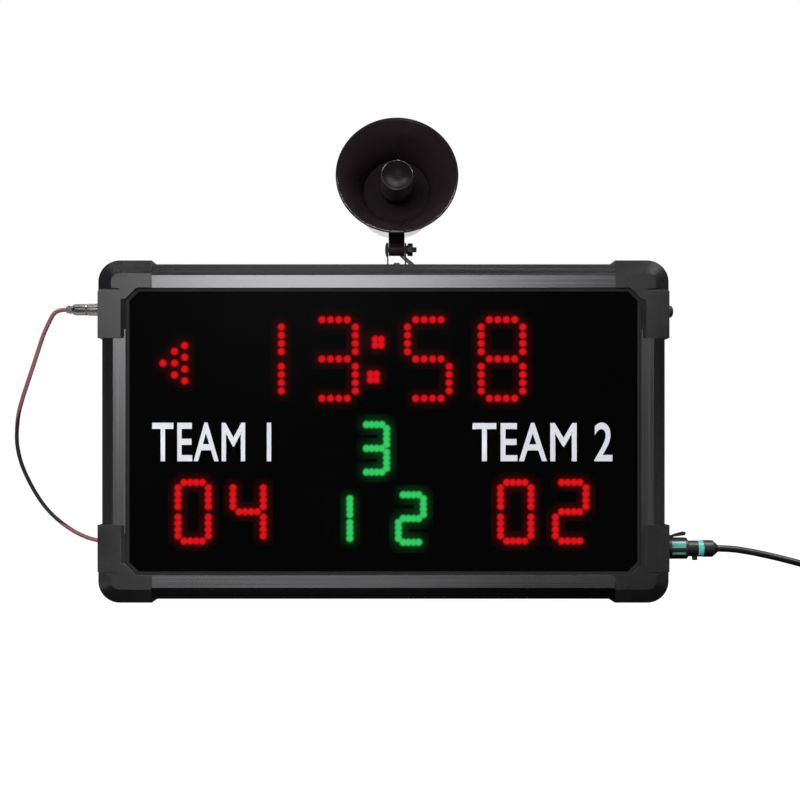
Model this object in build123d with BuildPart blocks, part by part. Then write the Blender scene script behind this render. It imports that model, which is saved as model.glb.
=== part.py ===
from build123d import *
from math import cos, degrees, pi, radians, sin, sqrt, tan
import os

# Electronic scoreboard with a tilting horn on top, standing on its two lower corner pieces.
# Millimetres. X runs to the right seen from the front, Y runs back from the front panel, Z is up.
# The origin is the centre of the board on the surface that it stands on.

os.makedirs("parts", exist_ok=True)

# Board and frame
board_width = 658.0
board_height = 395.0
board_depth = 66.0
corner_side_wall = 4.5       # how far a corner piece stands outside the rails
corner_cap_wall = 1.5        # how far it stands in front of and behind them
corner_leg_across = 62.0
corner_leg_along = 90.0
corner_radius = 25.0
corner_bevel_width = 15.5
corner_bevel_depth = 5.0
corner_wall = 3.0
opening_chamfer = 13.0
slit_height = 3.0
slit_depth = 4.5
slit_length = 25.0
leg_bevel_width = 5.3
leg_bevel_depth = 2.0
rail_insert = 10.0
rail_wall = 2.0
rail_bevel_width = 13.0
rail_bevel_depth = 3.5
rail_chamber = 20.0
flange_reach = 27.5          # front flange, measured inwards from the rail's outer face
ledge_reach = 28.0           # rear ledge that the back cover is screwed to

# Front panel, gasket and back cover
gasket_thickness = 2.0
gasket_show = 4.0
panel_thickness = 3.0
panel_clearance = 1.0
cover_thickness = 2.0
cover_clearance = 0.3
vent_length = 44.0
vent_width = 3.0
vent_pitch = 8.0
vent_count = 9

# Fasteners: radius of head, height of head, radius of shank, length of shank
corner_screw = (3.6, 2.0, 1.9, 9.0)
cover_screw = (3.2, 1.6, 1.5, 6.0)
board_screw = (2.75, 1.8, 1.45, 5.0)
bracket_screw = (3.6, 2.0, 1.9, 5.5)
hole_clearance = 0.1

# Light-emitting diodes and the boards that carry them
led_radius = 2.5
led_height = 8.6
led_rim = 2.85
led_rim_height = 1.0
led_gap = 1.0                # from the lens to the back of the front panel
circuit_thickness = 1.6
circuit_margin = 8.0
standoff_length = 7.3
standoff_flats = 5.5
carrier_thickness = 1.5
carrier_flange = 15.0
carrier_low = 50.0
carrier_high = 350.0

# Digits: width between columns, height between rows, dot pitch across and down
clock_cell = (48.0, 90.8, 9.7, 9.45)
score_cell = (35.0, 67.6, 7.0, 7.2)
small_cell = (28.7, 54.8, 5.95, 6.1)
dots_per_segment = 4
clock_centres = (-141.8, -56.4, 51.8, 136.8)
clock_level = 281.2
colon_centres = ((-6.0, 300.6), (-11.6, 260.5))
colon_pitch = 6.9
home_centres = (-219.6, -156.1)
guest_centres = (152.7, 216.1)
score_level = 104.9
period_centre = (-10.7, 178.1)
foul_centres = (-53.1, 31.7)
foul_level = 97.1
arrow_tip = 254.4
arrow_columns = (0.0, 13.3, 25.0)
arrow_pitch = 13.6
arrow_level = 276.4

# Circuits behind the carrier plate: centre across, centre height, width, height
controller_place = (0.0, 190.0, 150.0, 100.0)
amplifier_place = (-190.0, 290.0, 84.0, 60.0)
supply_place = (192.0, 108.0, 130.0, 84.0)
supply_depth = 27.0
rear_standoff_length = 6.0

# Side ports, all on the middle plane of the board
port_depth = 0.0
speaker_port_drop = 54.3     # below the board's top
speaker_port_height = board_height - speaker_port_drop
speaker_port_radius = 6.0
button_port_drop = 56.6
button_port_height = board_height - button_port_drop
button_port_radius = 8.0
power_port_height = 60.6
power_port_radius = 9.2
running_gap = 0.15

# Horn
horn_centre = 15.5
horn_tilt = 12.0             # the mouth looks up by this much at rest
pivot_depth = -8.0
pivot_rise = 19.5            # above the top face of the top rail
axis_rise = 74.5             # horn axis above the pivot
rim_reach = 45.0             # rim in front of the pivot
rim_radius = 70.5
horn_wall = 2.2
bell_length = 56.0
bell_middle = (21.0, 52.5)    # point of the bell's outer curve, behind the rim and off the axis
neck_radius = 41.0
cover_radius = 47.0
driver_length = 32.0
driver_wall = 2.5
throat_radius = 12.0
throat_bore = 9.5
deflector_radius = 18.2
deflector_length = 37.5
dish_depth = 6.5
foot_width = 18.4
foot_half = 7.3
bracket_thickness = 1.5
bracket_length = 18.0
bolt_radius = 3.0
nut_flats = 13.0
nut_thickness = 6.0
nut_collar = (5.2, 1.4)       # radius and thickness, toward the bracket
bolt_tail = 38.8

# Cords
mains_radius = 4.0
lead_radius = 2.5
coil_turns_in = 2.75
coil_turns_out = 2.75
coil_outer = 57.0
coil_pitch = 8.6
coil_layer = 8.6
coil_centre_x = 625.0
cord_straight = 8.0
tie_thickness = 1.2
tie_width = 12.0

half_width = board_width / 2
front = -board_depth / 2
back = board_depth / 2
rail_x = half_width - corner_side_wall
rail_low = corner_side_wall
rail_high = board_height - corner_side_wall
rail_front = front + corner_cap_wall
rail_back = back - corner_cap_wall
rail_depth = rail_back - rail_front
panel_back = rail_front + rail_wall + gasket_thickness + panel_thickness
ledge_front = rail_back - cover_thickness - rail_wall
opening_x = rail_x - rail_chamber            # inner faces of the side rails
opening_low = rail_low + rail_chamber
opening_high = rail_high - rail_chamber


def write(piece, label):
    piece.part.label = label
    export_step(piece.part, "parts/" + label + ".step")


# Seats: a plane at a point, with its own Z pointing the way that the name says.
def seat_back(x, y, z):
    return Plane(origin=(x, y, z), x_dir=(1, 0, 0), z_dir=(0, 1, 0))


def seat_front(x, y, z):
    return Plane(origin=(x, y, z), x_dir=(1, 0, 0), z_dir=(0, -1, 0))


def seat_left(x, y, z):
    return Plane(origin=(x, y, z), x_dir=(0, 0, 1), z_dir=(-1, 0, 0))


def seat_right(x, y, z):
    return Plane(origin=(x, y, z), x_dir=(0, 0, 1), z_dir=(1, 0, 0))


def seat_up(x, y, z):
    return Plane(origin=(x, y, z), x_dir=(1, 0, 0), z_dir=(0, 0, 1))


# A closed outline of (radius, height) points, turned about the seat's own Z.
def turn(seat, outline, mode=Mode.ADD):
    section = Plane(origin=seat.origin, x_dir=seat.x_dir, z_dir=seat.x_dir.cross(seat.z_dir))
    with BuildSketch(section) as profile:
        with BuildLine():
            Polyline(*outline, close=True)
        make_face()
    revolve(profile.sketch, axis=Axis(seat.origin, seat.z_dir), mode=mode)


def screw_group(label, seats, screw):
    head_radius, head_height, shank_radius, shank_length = screw
    with BuildPart() as one_screw:
        Cylinder(head_radius, head_height, align=(Align.CENTER, Align.CENTER, Align.MIN))
        fillet(one_screw.edges().group_by(Axis.Z)[-1], head_height * 0.45)
        Cylinder(shank_radius, shank_length, align=(Align.CENTER, Align.CENTER, Align.MAX))
        with Locations((0, 0, head_height)):
            Box(head_radius * 1.1, head_radius * 0.25, head_height, mode=Mode.SUBTRACT)
            Box(head_radius * 0.25, head_radius * 1.1, head_height, mode=Mode.SUBTRACT)
    with BuildPart() as group:
        with Locations(*seats):
            add(one_screw.part)
    write(group, label)


# Aluminium rails, one section for all four. The section's first number runs inwards from the
# rail's outer face and its second runs back from the rail's front face.
ledge_depth = ledge_front - rail_front
bevel_lift = 1 + rail_wall * sqrt(1 / rail_bevel_width ** 2 + 1 / rail_bevel_depth ** 2)
section_outline = [
    (0, rail_bevel_depth),
    (rail_bevel_width, 0),
    (flange_reach, 0),
    (flange_reach, rail_wall),
    (rail_chamber, rail_wall),
    (rail_chamber, ledge_depth),
    (ledge_reach, ledge_depth),
    (ledge_reach, ledge_depth + rail_wall),
    (rail_chamber, ledge_depth + rail_wall),
    (rail_chamber, rail_depth),
    (0, rail_depth),
]
chamber_outline = [
    (rail_wall, rail_bevel_depth * (bevel_lift - rail_wall / rail_bevel_width)),
    (rail_bevel_width * (bevel_lift - rail_wall / rail_bevel_depth), rail_wall),
    (rail_chamber - rail_wall, rail_wall),
    (rail_chamber - rail_wall, rail_depth - rail_wall),
    (rail_wall, rail_depth - rail_wall),
]


# The plane of a rail's section. The left rail runs up and the right one down, and the top rail
# runs to the right and the bottom one to the left, each from the given start.
def rail_plane(edge, start):
    if edge == "left":
        return Plane(origin=(-rail_x, rail_front, start), x_dir=(1, 0, 0), z_dir=(0, 0, 1))
    if edge == "right":
        return Plane(origin=(rail_x, rail_front, start), x_dir=(-1, 0, 0), z_dir=(0, 0, -1))
    if edge == "top":
        return Plane(origin=(start, rail_front, rail_high), x_dir=(0, 0, -1), z_dir=(1, 0, 0))
    return Plane(origin=(start, rail_front, rail_low), x_dir=(0, 0, 1), z_dir=(-1, 0, 0))


def outline_face(plane, points):
    with BuildSketch(plane) as face:
        with BuildLine():
            Polyline(*points, close=True)
        make_face()
    return face.sketch


screw_inset = rail_chamber / 2
across_end = half_width - corner_leg_across
side_end_low = corner_leg_along
side_end_high = board_height - corner_leg_along
corner_screw_places = []
for end in (-1, 1):
    for height in (rail_low + screw_inset, rail_high - screw_inset):
        corner_screw_places.append((end * (across_end + rail_insert / 2), height))
    for height in (side_end_low - rail_insert / 2, side_end_high + rail_insert / 2):
        corner_screw_places.append((end * (rail_x - screw_inset), height))

ledge_middle = (rail_chamber + ledge_reach) / 2
cover_screw_across = 240.0
cover_screw_up = 135.0
cover_screw_places = []
for height in (rail_low + ledge_middle, rail_high - ledge_middle):
    for x in (-cover_screw_across, 0.0, cover_screw_across):
        cover_screw_places.append((x, height))
for x in (-rail_x + ledge_middle, rail_x - ledge_middle):
    for height in ((board_height - cover_screw_up) / 2, (board_height + cover_screw_up) / 2):
        cover_screw_places.append((x, height))

insert_spacing = 400.0
insert_flange_radius = 6.5
insert_flange = 1.0
insert_radius = 4.5
insert_bore = 3.0
insert_length = 12.0
insert_places = []
for x in (-insert_spacing / 2, insert_spacing / 2):
    for height in (rail_low + screw_inset, rail_high - screw_inset):
        insert_places.append((x, height))

pivot_height = rail_high + pivot_rise
bracket_hole_places = [
    (horn_centre, pivot_depth - 4.5),
    (horn_centre, pivot_depth + 4.5),
]


def make_rail(label, edge, start, length):
    with BuildPart() as rail:
        extrude(outline_face(rail_plane(edge, start), section_outline), amount=length)
        extrude(outline_face(rail_plane(edge, start), chamber_outline), amount=length, mode=Mode.SUBTRACT)
        for x, height in corner_screw_places:
            with Locations(seat_back(x, rail_back, height)):
                Hole(corner_screw[2] + hole_clearance, depth=rail_wall * 1.5)
        for x, height in cover_screw_places:
            with Locations(seat_back(x, rail_back, height)):
                Hole(cover_screw[2] + hole_clearance, depth=cover_thickness + rail_wall * 1.5)
        if edge in ("top", "bottom"):
            for x, height in insert_places:
                with Locations(seat_back(x, rail_back, height)):
                    Hole(insert_radius, depth=rail_wall * 1.5)
        if edge == "top":
            for x, y in bracket_hole_places:
                with Locations(seat_up(x, y, rail_high)):
                    Hole(bracket_screw[2] + hole_clearance, depth=rail_wall * 1.5)
    write(rail, label)


side_rail_length = side_end_high - side_end_low + 2 * rail_insert
across_rail_length = 2 * (across_end + rail_insert)
make_rail("left_rail", "left", side_end_low - rail_insert, side_rail_length)
make_rail("right_rail", "right", side_end_high + rail_insert, side_rail_length)
make_rail("top_rail", "top", -across_rail_length / 2, across_rail_length)
make_rail("bottom_rail", "bottom", across_rail_length / 2, across_rail_length)


# Moulded corner pieces. Side is -1 on the left and 1 on the right; level is 1 at the top.
# Distances run inwards from the board's side (across) and from its top or bottom (along).
def make_corner(label, side, level, port_radius, port_height):
    edge_height = board_height if level > 0 else 0.0

    def spot(across, along):
        return (side * (half_width - across), edge_height - level * along)

    def block(across, along, depths):
        x_one, z_one = spot(across[0], along[0])
        x_two, z_two = spot(across[1], along[1])
        middle = ((x_one + x_two) / 2, (depths[0] + depths[1]) / 2, (z_one + z_two) / 2)
        with Locations(middle):
            Box(abs(x_two - x_one), depths[1] - depths[0], abs(z_two - z_one), mode=Mode.SUBTRACT)

    frame_inner = corner_side_wall + flange_reach
    chamber_inner = corner_side_wall + rail_chamber
    slit_end = frame_inner + leg_bevel_width - 1.5
    slope = frame_inner + opening_chamfer
    head = [(0, 0), (corner_leg_across, 0), (corner_leg_across, frame_inner), (slope, frame_inner),
            (slope + frame_inner - slit_end, slit_end), (0, slit_end)]
    leg = [(0, slit_end), (slope + frame_inner - slit_end, slit_end), (frame_inner, slope),
           (frame_inner, corner_leg_along), (0, corner_leg_along)]

    with BuildPart() as corner:
        with BuildSketch(Plane.XZ.offset(-back)):
            with BuildLine():
                Polyline(*[spot(*point) for point in head], close=True)
            outline = make_face()
            outer_point = Vector(spot(0, 0)[0], spot(0, 0)[1], 0)
            fillet(outline.vertices().sort_by_distance(outer_point)[0], corner_radius)
        extrude(amount=board_depth)
        front_face = corner.faces().sort_by(Axis.Y)[0]
        outer_edges = []
        for edge in front_face.edges():
            middle = edge.position_at(0.5)
            inset = min(half_width - abs(middle.X), abs(edge_height - middle.Z))
            if inset < corner_radius / 3:
                outer_edges.append(edge)
        chamfer(outer_edges, corner_bevel_width, corner_bevel_depth, reference=front_face)
        with BuildSketch(Plane.XZ.offset(-back)):
            with BuildLine():
                Polyline(*[spot(*point) for point in leg], close=True)
            make_face()
        extrude(amount=board_depth)
        # Slit between the bevelled head and the square leg, on the front and round the side
        block((-1, slit_length), (slit_end - slit_height, slit_end), (front - 1, front + slit_depth))
        # Lighter bevel on the inner front edge of the leg
        inner_bevel = [(frame_inner, front), (frame_inner, front + leg_bevel_depth),
                       (frame_inner - leg_bevel_width, front)]
        start_height = spot(0, corner_leg_along)[1]
        bevel_plane = Plane(origin=(0, 0, start_height), x_dir=(1, 0, 0), z_dir=(0, 0, 1))
        bevel_points = [(side * (half_width - across), depth) for across, depth in inner_bevel]
        extrude(outline_face(bevel_plane, bevel_points), amount=level * (corner_leg_along - slope),
                mode=Mode.SUBTRACT)
        # Hollow legs
        hollow_start = corner_radius - 7
        depths = (front + corner_bevel_depth + 0.5, rail_back - rail_wall)
        block((corner_wall, chamber_inner - rail_wall), (hollow_start, corner_leg_along + 1), depths)
        block((hollow_start, corner_leg_across + 1), (corner_wall, chamber_inner - rail_wall), depths)
        # Room for the panel and its gasket, and for the back cover
        block((chamber_inner, corner_leg_across + 1), (chamber_inner, corner_leg_along + 1),
              (rail_front + rail_wall, ledge_front))
        block((chamber_inner, corner_leg_across + 1), (chamber_inner, corner_leg_along + 1),
              (rail_back - cover_thickness, back + 1))
        # Pockets that the rails are pushed into
        side_edge = "left" if side < 0 else "right"
        side_start = spot(0, corner_leg_along)[1]
        if (side < 0) != (level > 0):
            side_start += level * rail_insert
        extrude(outline_face(rail_plane(side_edge, side_start), section_outline), amount=rail_insert,
                mode=Mode.SUBTRACT)
        across_edge = "top" if level > 0 else "bottom"
        across_start = spot(corner_leg_across, 0)[0]
        if (side < 0) == (level > 0):
            across_start += side * rail_insert
        extrude(outline_face(rail_plane(across_edge, across_start), section_outline), amount=rail_insert,
                mode=Mode.SUBTRACT)
        for x, height in corner_screw_places:
            with Locations(seat_back(x, back, height)):
                Hole(corner_screw[2] + hole_clearance, depth=corner_cap_wall * 1.5)
        if port_radius > 0:
            with Locations(seat_right(side * half_width, port_depth, port_height)):
                Cylinder(port_radius, corner_wall * 3, mode=Mode.SUBTRACT)
    write(corner, label)


make_corner("corner_top_left", -1, 1, speaker_port_radius, speaker_port_height)
make_corner("corner_top_right", 1, 1, button_port_radius, button_port_height)
make_corner("corner_bottom_left", -1, -1, 0, 0)
make_corner("corner_bottom_right", 1, -1, power_port_radius, power_port_height)

screw_group("corner_screws", [seat_back(x, back, height) for x, height in corner_screw_places], corner_screw)

# Threaded inserts in the rear of the top and bottom rails, for hanging the board
with BuildPart() as one_insert:
    Cylinder(insert_flange_radius, insert_flange, align=(Align.CENTER, Align.CENTER, Align.MIN))
    Cylinder(insert_radius, insert_length, align=(Align.CENTER, Align.CENTER, Align.MAX))
    Cylinder(insert_bore, 3 * insert_length, mode=Mode.SUBTRACT)
with BuildPart() as hanging_inserts:
    with Locations(*[seat_back(x, rail_back, height) for x, height in insert_places]):
        add(one_insert.part)
write(hanging_inserts, "hanging_inserts")

# Gasket ring, taped between the frame's front flange and the panel
window_x = rail_x - flange_reach - gasket_show
window_low = rail_low + flange_reach + gasket_show
window_high = rail_high - flange_reach - gasket_show
middle_height = board_height / 2
panel_width = 2 * (opening_x - panel_clearance)
panel_height = opening_high - opening_low - 2 * panel_clearance
gasket_front = rail_front + rail_wall
cut = opening_chamfer - 2
window_outline = [(-window_x + cut, window_low), (window_x - cut, window_low), (window_x, window_low + cut),
                  (window_x, window_high - cut), (window_x - cut, window_high), (-window_x + cut, window_high),
                  (-window_x, window_high - cut), (-window_x, window_low + cut)]
with BuildPart() as panel_gasket:
    with BuildSketch(Plane.XZ.offset(-gasket_front - gasket_thickness)):
        with Locations((0, middle_height)):
            Rectangle(panel_width, panel_height)
        with BuildLine():
            Polyline(*window_outline, close=True)
        make_face(mode=Mode.SUBTRACT)
    extrude(amount=gasket_thickness)
write(panel_gasket, "panel_gasket")

with BuildPart() as front_panel:
    with BuildSketch(Plane.XZ.offset(-panel_back)):
        with Locations((0, middle_height)):
            Rectangle(panel_width, panel_height)
    extrude(amount=panel_thickness)
write(front_panel, "front_panel")

cover_width = 2 * (opening_x - cover_clearance)
cover_height = opening_high - opening_low - 2 * cover_clearance
vent_centres = ((-180.0, 92.0), (192.0, 300.0))
with BuildPart() as back_cover:
    with BuildSketch(Plane.XZ.offset(-rail_back)):
        with Locations((0, middle_height)):
            Rectangle(cover_width, cover_height)
        with Locations(*cover_screw_places):
            Circle(cover_screw[2] + hole_clearance, mode=Mode.SUBTRACT)
        for centre in vent_centres:
            with Locations(centre):
                with GridLocations(vent_pitch, 0, vent_count, 1):
                    SlotOverall(vent_length, vent_width, rotation=90, mode=Mode.SUBTRACT)
    extrude(amount=cover_thickness)
write(back_cover, "back_cover")
screw_group("back_cover_screws", [seat_back(x, rail_back, z) for x, z in cover_screw_places], cover_screw)

# Display: seven segments of four dots in each digit
led_seat = panel_back + led_gap + led_height          # front face of the display boards
carrier_front = led_seat + circuit_thickness + standoff_length
carrier_back = carrier_front + carrier_thickness


def digit_points(x, z, cell):
    width, height, pitch_across, pitch_down = cell
    steps = [step - (dots_per_segment - 1) / 2 for step in range(dots_per_segment)]
    points = []
    for row in (height / 2, 0, -height / 2):
        points += [(x + step * pitch_across, z + row) for step in steps]
    for column in (-width / 2, width / 2):
        for middle in (height / 4, -height / 4):
            points += [(x + column, z + middle + step * pitch_down) for step in steps]
    return points


def colon_points():
    half = colon_pitch / 2
    return [(x + i * half, z + j * half) for x, z in colon_centres for i in (-1, 1) for j in (-1, 1)]


# Arrow of eight dots that points away from the middle; side is -1 for the left one
def arrow_points(side):
    points = []
    for column, dots in zip(arrow_columns, (1, 3, 4)):
        for dot in range(dots):
            points.append((side * (arrow_tip - column), arrow_level + (dot - (dots - 1) / 2) * arrow_pitch))
    return points


with BuildPart() as one_led:
    Cylinder(led_radius, led_height, align=(Align.CENTER, Align.CENTER, Align.MIN))
    fillet(one_led.edges().group_by(Axis.Z)[-1], led_radius * 0.9)
    Cylinder(led_rim, led_rim_height, align=(Align.CENTER, Align.CENTER, Align.MIN))


def led_group(label, points):
    with BuildPart() as group:
        with Locations(*[seat_front(x, led_seat, z) for x, z in points]):
            add(one_led.part)
    write(group, label)


def span(points):
    across = [x for x, z in points]
    up = [z for x, z in points]
    return min(across), max(across), min(up), max(up)


board_screw_seats = []
rear_screw_seats = []
front_standoffs = []
rear_standoffs = []
hole_inset = 5.0


# A display board is as large as its dots and a margin, and stands on a pin in each corner.
def display_board(point_groups):
    for points in point_groups:
        left, right, low, high = span(points)
        width = right - left + 2 * circuit_margin + 2 * hole_inset
        height = high - low + 2 * circuit_margin
        with Locations(((left + right) / 2, led_seat + circuit_thickness / 2, (low + high) / 2)):
            Box(width, circuit_thickness, height)
        for x in (left - circuit_margin, right + circuit_margin):
            for z in (low - circuit_margin + hole_inset, high + circuit_margin - hole_inset):
                with Locations(seat_front(x, led_seat, z)):
                    Cylinder(board_screw[2] + hole_clearance, circuit_thickness * 3, mode=Mode.SUBTRACT)
                board_screw_seats.append(seat_front(x, led_seat, z))
                front_standoffs.append((x, z))


def make_display(name, point_groups):
    with BuildPart() as boards:
        display_board(point_groups)
    write(boards, "led_board_" + name)
    led_group("leds_" + name, [point for points in point_groups for point in points])


clock_points = colon_points()
for x in clock_centres:
    clock_points += digit_points(x, clock_level, clock_cell)
home_points = [p for x in home_centres for p in digit_points(x, score_level, score_cell)]
guest_points = [p for x in guest_centres for p in digit_points(x, score_level, score_cell)]
period_points = digit_points(*period_centre, small_cell)
foul_points = [p for x in foul_centres for p in digit_points(x, foul_level, small_cell)]
make_display("clock", [clock_points])
make_display("arrows", [arrow_points(-1), arrow_points(1)])
make_display("scores", [home_points, guest_points])
make_display("centre", [period_points, foul_points])


# Circuits on the rear of the carrier plate, each on four pins
def circuit_corners(place):
    x, z, width, height = place
    return [(x + i * (width / 2 - hole_inset), z + j * (height / 2 - hole_inset)) for i in (-1, 1) for j in (-1, 1)]


circuit_front = carrier_back + rear_standoff_length
circuit_back = circuit_front + circuit_thickness


def rear_circuit(place):
    x, z, width, height = place
    with Locations((x, (circuit_front + circuit_back) / 2, z)):
        Box(width, circuit_thickness, height)
    for hole_x, hole_z in circuit_corners(place):
        with Locations(seat_back(hole_x, circuit_back, hole_z)):
            Cylinder(board_screw[2] + hole_clearance, circuit_thickness * 3, mode=Mode.SUBTRACT)
        rear_screw_seats.append(seat_back(hole_x, circuit_back, hole_z))
        rear_standoffs.append((hole_x, hole_z))


# Blocks on a rear circuit: offset across, offset up, width, height, depth
def components(place, blocks):
    for across, up, width, height, depth in blocks:
        with Locations((place[0] + across, circuit_back + depth / 2, place[1] + up)):
            Box(width, depth, height)


with BuildPart() as controller_board:
    rear_circuit(controller_place)
write(controller_board, "controller_board")
controller_blocks = [(-20, 5, 12, 12, 1.6), (15, 18, 10, 14, 1.8), (15, -8, 10, 14, 1.8), (40, 18, 10, 14, 1.8),
                     (40, -8, 10, 14, 1.8), (-45, 30, 16, 12, 14), (-10, -38, 60, 10, 12), (40, 39, 36, 8, 9)]
with BuildPart() as controller_chips:
    components(controller_place, controller_blocks)
write(controller_chips, "controller_chips")

with BuildPart() as siren_amplifier:
    rear_circuit(amplifier_place)
    components(amplifier_place, [(-24, -18, 14, 10, 12), (20, -16, 12, 12, 15), (-24, 12, 12, 16, 9)])
write(siren_amplifier, "siren_amplifier")
fin_count = 7
with BuildPart() as amplifier_heatsink:
    components(amplifier_place, [(12, 12, 36, 22, 3)])
    with Locations((amplifier_place[0] + 12, circuit_back + 9, amplifier_place[1] + 12)):
        with GridLocations(5.5, 1, fin_count, 1):
            Box(1.6, 14, 22)
write(amplifier_heatsink, "amplifier_heatsink")

# Mains power supply in a slotted metal case, flat on the carrier plate
with BuildPart() as power_supply:
    with Locations((supply_place[0], carrier_back + supply_depth / 2, supply_place[1])):
        Box(supply_place[2], supply_depth, supply_place[3])
    chamfer(power_supply.edges().filter_by(Axis.X).group_by(Axis.Y)[-1], 3)
    with BuildSketch(Plane.XZ.offset(-carrier_back - supply_depth)):
        with Locations((supply_place[0] - 10, supply_place[1])):
            with GridLocations(9, 0, 9, 1):
                SlotOverall(supply_place[3] * 0.6, 4, rotation=90)
    extrude(amount=1.2, mode=Mode.SUBTRACT)
write(power_supply, "power_supply")

with BuildPart() as standoffs:
    with Locations(*[seat_front(x, carrier_front, z) for x, z in front_standoffs]):
        Cylinder(standoff_flats / 2, standoff_length, align=(Align.CENTER, Align.CENTER, Align.MIN))
        Cylinder(board_screw[2] + hole_clearance, standoff_length - 1,
                 align=(Align.CENTER, Align.CENTER, Align.MIN), mode=Mode.PRIVATE)
    with Locations(*[seat_front(x, carrier_front - standoff_length, z) for x, z in front_standoffs]):
        Hole(board_screw[2] + hole_clearance, depth=board_screw[3])
    with Locations(*[seat_back(x, carrier_back, z) for x, z in rear_standoffs]):
        Cylinder(standoff_flats / 2, rear_standoff_length, align=(Align.CENTER, Align.CENTER, Align.MIN))
    with Locations(*[seat_back(x, circuit_front, z) for x, z in rear_standoffs]):
        Hole(board_screw[2] + hole_clearance, depth=board_screw[3])
write(standoffs, "standoffs")
screw_group("board_screws", board_screw_seats + rear_screw_seats, board_screw)

# Folded plate that carries every board, screwed between the two side rails
window_blocks = ((-195.0, 190.0, 90.0, 30.0), (110.0, 190.0, 60.0, 30.0), (-100.0, 80.0, 24.0, 60.0),
                 (85.0, 80.0, 20.0, 60.0), (-195.0, 240.0, 40.0, 24.0))
plate_middle = (carrier_low + carrier_high) / 2
with BuildPart() as carrier_plate:
    with Locations((0, (carrier_front + carrier_back) / 2, plate_middle)):
        Box(2 * opening_x, carrier_thickness, carrier_high - carrier_low)
    for side in (-1, 1):
        with Locations((side * (opening_x - carrier_thickness / 2), carrier_back + carrier_flange / 2, plate_middle)):
            Box(carrier_thickness, carrier_flange, carrier_high - carrier_low)
    for x, z, width, height in window_blocks:
        with Locations((x, carrier_front, z)):
            Box(width, carrier_thickness * 4, height, mode=Mode.SUBTRACT)
write(carrier_plate, "carrier_plate")


# Speaker socket and its screwed plug on the left
wall_left = -half_width
socket_flange = 2.0
socket_thread = 12.0
ring_length = 15.7
plug_length = 16.5
clamp_length = 7.5
ring_radius = 6.8
speaker_seat = seat_left(wall_left, port_depth, speaker_port_height)
with BuildPart() as speaker_socket:
    turn(speaker_seat, [(0, -13), (5.9, -13), (5.9, 0), (7.6, 0), (7.6, socket_flange), (4.9, socket_flange),
                        (4.9, socket_thread), (0, socket_thread)])
    # Its nut, inside the corner piece
    with BuildSketch(seat_left(wall_left + corner_wall, port_depth, speaker_port_height)):
        RegularPolygon(7.5, 6, major_radius=False)
        Circle(5.9 + hole_clearance, mode=Mode.SUBTRACT)
    extrude(amount=-3)
write(speaker_socket, "speaker_socket")
ring_start = socket_flange + 2 * running_gap
ring_end = ring_start + ring_length
plug_start = ring_end + 2 * running_gap
plug_end = plug_start + plug_length
with BuildPart() as speaker_plug_ring:
    turn(speaker_seat, [(4.9 + running_gap, ring_start), (6.2, ring_start), (ring_radius, ring_start + 1),
                        (ring_radius, ring_end - 1), (6.2, ring_end), (4.9 + running_gap, ring_end)])
write(speaker_plug_ring, "speaker_plug_ring")
with BuildPart() as speaker_plug_body:
    turn(speaker_seat, [(0, socket_thread), (4.7, socket_thread), (4.7, plug_start), (6.4, plug_start),
                        (6.7, plug_start + 1), (6.7, plug_end - 3), (5.6, plug_end), (0, plug_end)])
write(speaker_plug_body, "speaker_plug_body")
clamp_end = plug_end + clamp_length
clamp_middle = wall_left - plug_end - clamp_length / 2
with BuildPart() as speaker_plug_clamp:
    turn(speaker_seat, [(0, plug_end), (4.6, plug_end), (4.2, clamp_end), (0, clamp_end)])
    for side in (-1, 1):
        with Locations((clamp_middle, side * 4.6, speaker_port_height)):
            Box(clamp_length - 1.5, 4.4, 4.4)
        with Locations((clamp_middle, side * 5.2, speaker_port_height)):
            Cylinder(1.3, 8.4)
write(speaker_plug_clamp, "speaker_plug_clamp")

# Push button on the right, with a rubber-covered cap that travels into its barrel
button_travel = 2.5
bezel_height = 4.0
cap_height = 11.0
cap_radius = 7.2
cap_inner = -4.0
barrel_depth = 18.0
barrel_radius = button_port_radius - 0.1
bezel_radius = button_port_radius + 1.6
cap_bore = cap_radius + 2 * running_gap
bore_end = cap_inner - button_travel - 0.5
button_seat = seat_right(half_width, port_depth, button_port_height)
with BuildPart() as power_button_body:
    turn(button_seat, [(0, -barrel_depth), (barrel_radius, -barrel_depth), (barrel_radius, 0), (bezel_radius, 0),
                       (bezel_radius, bezel_height - 1.2), (bezel_radius - 0.8, bezel_height),
                       (cap_bore, bezel_height), (cap_bore, bore_end), (0, bore_end)])
write(power_button_body, "power_button_body")
with BuildPart() as power_button:
    turn(button_seat, [(0, cap_inner), (cap_radius, cap_inner), (cap_radius, cap_height - 4),
                       (cap_radius - 0.8, cap_height - 1.8), (cap_radius - 3, cap_height - 0.5), (0, cap_height)])
write(power_button, "power_button")

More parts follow.
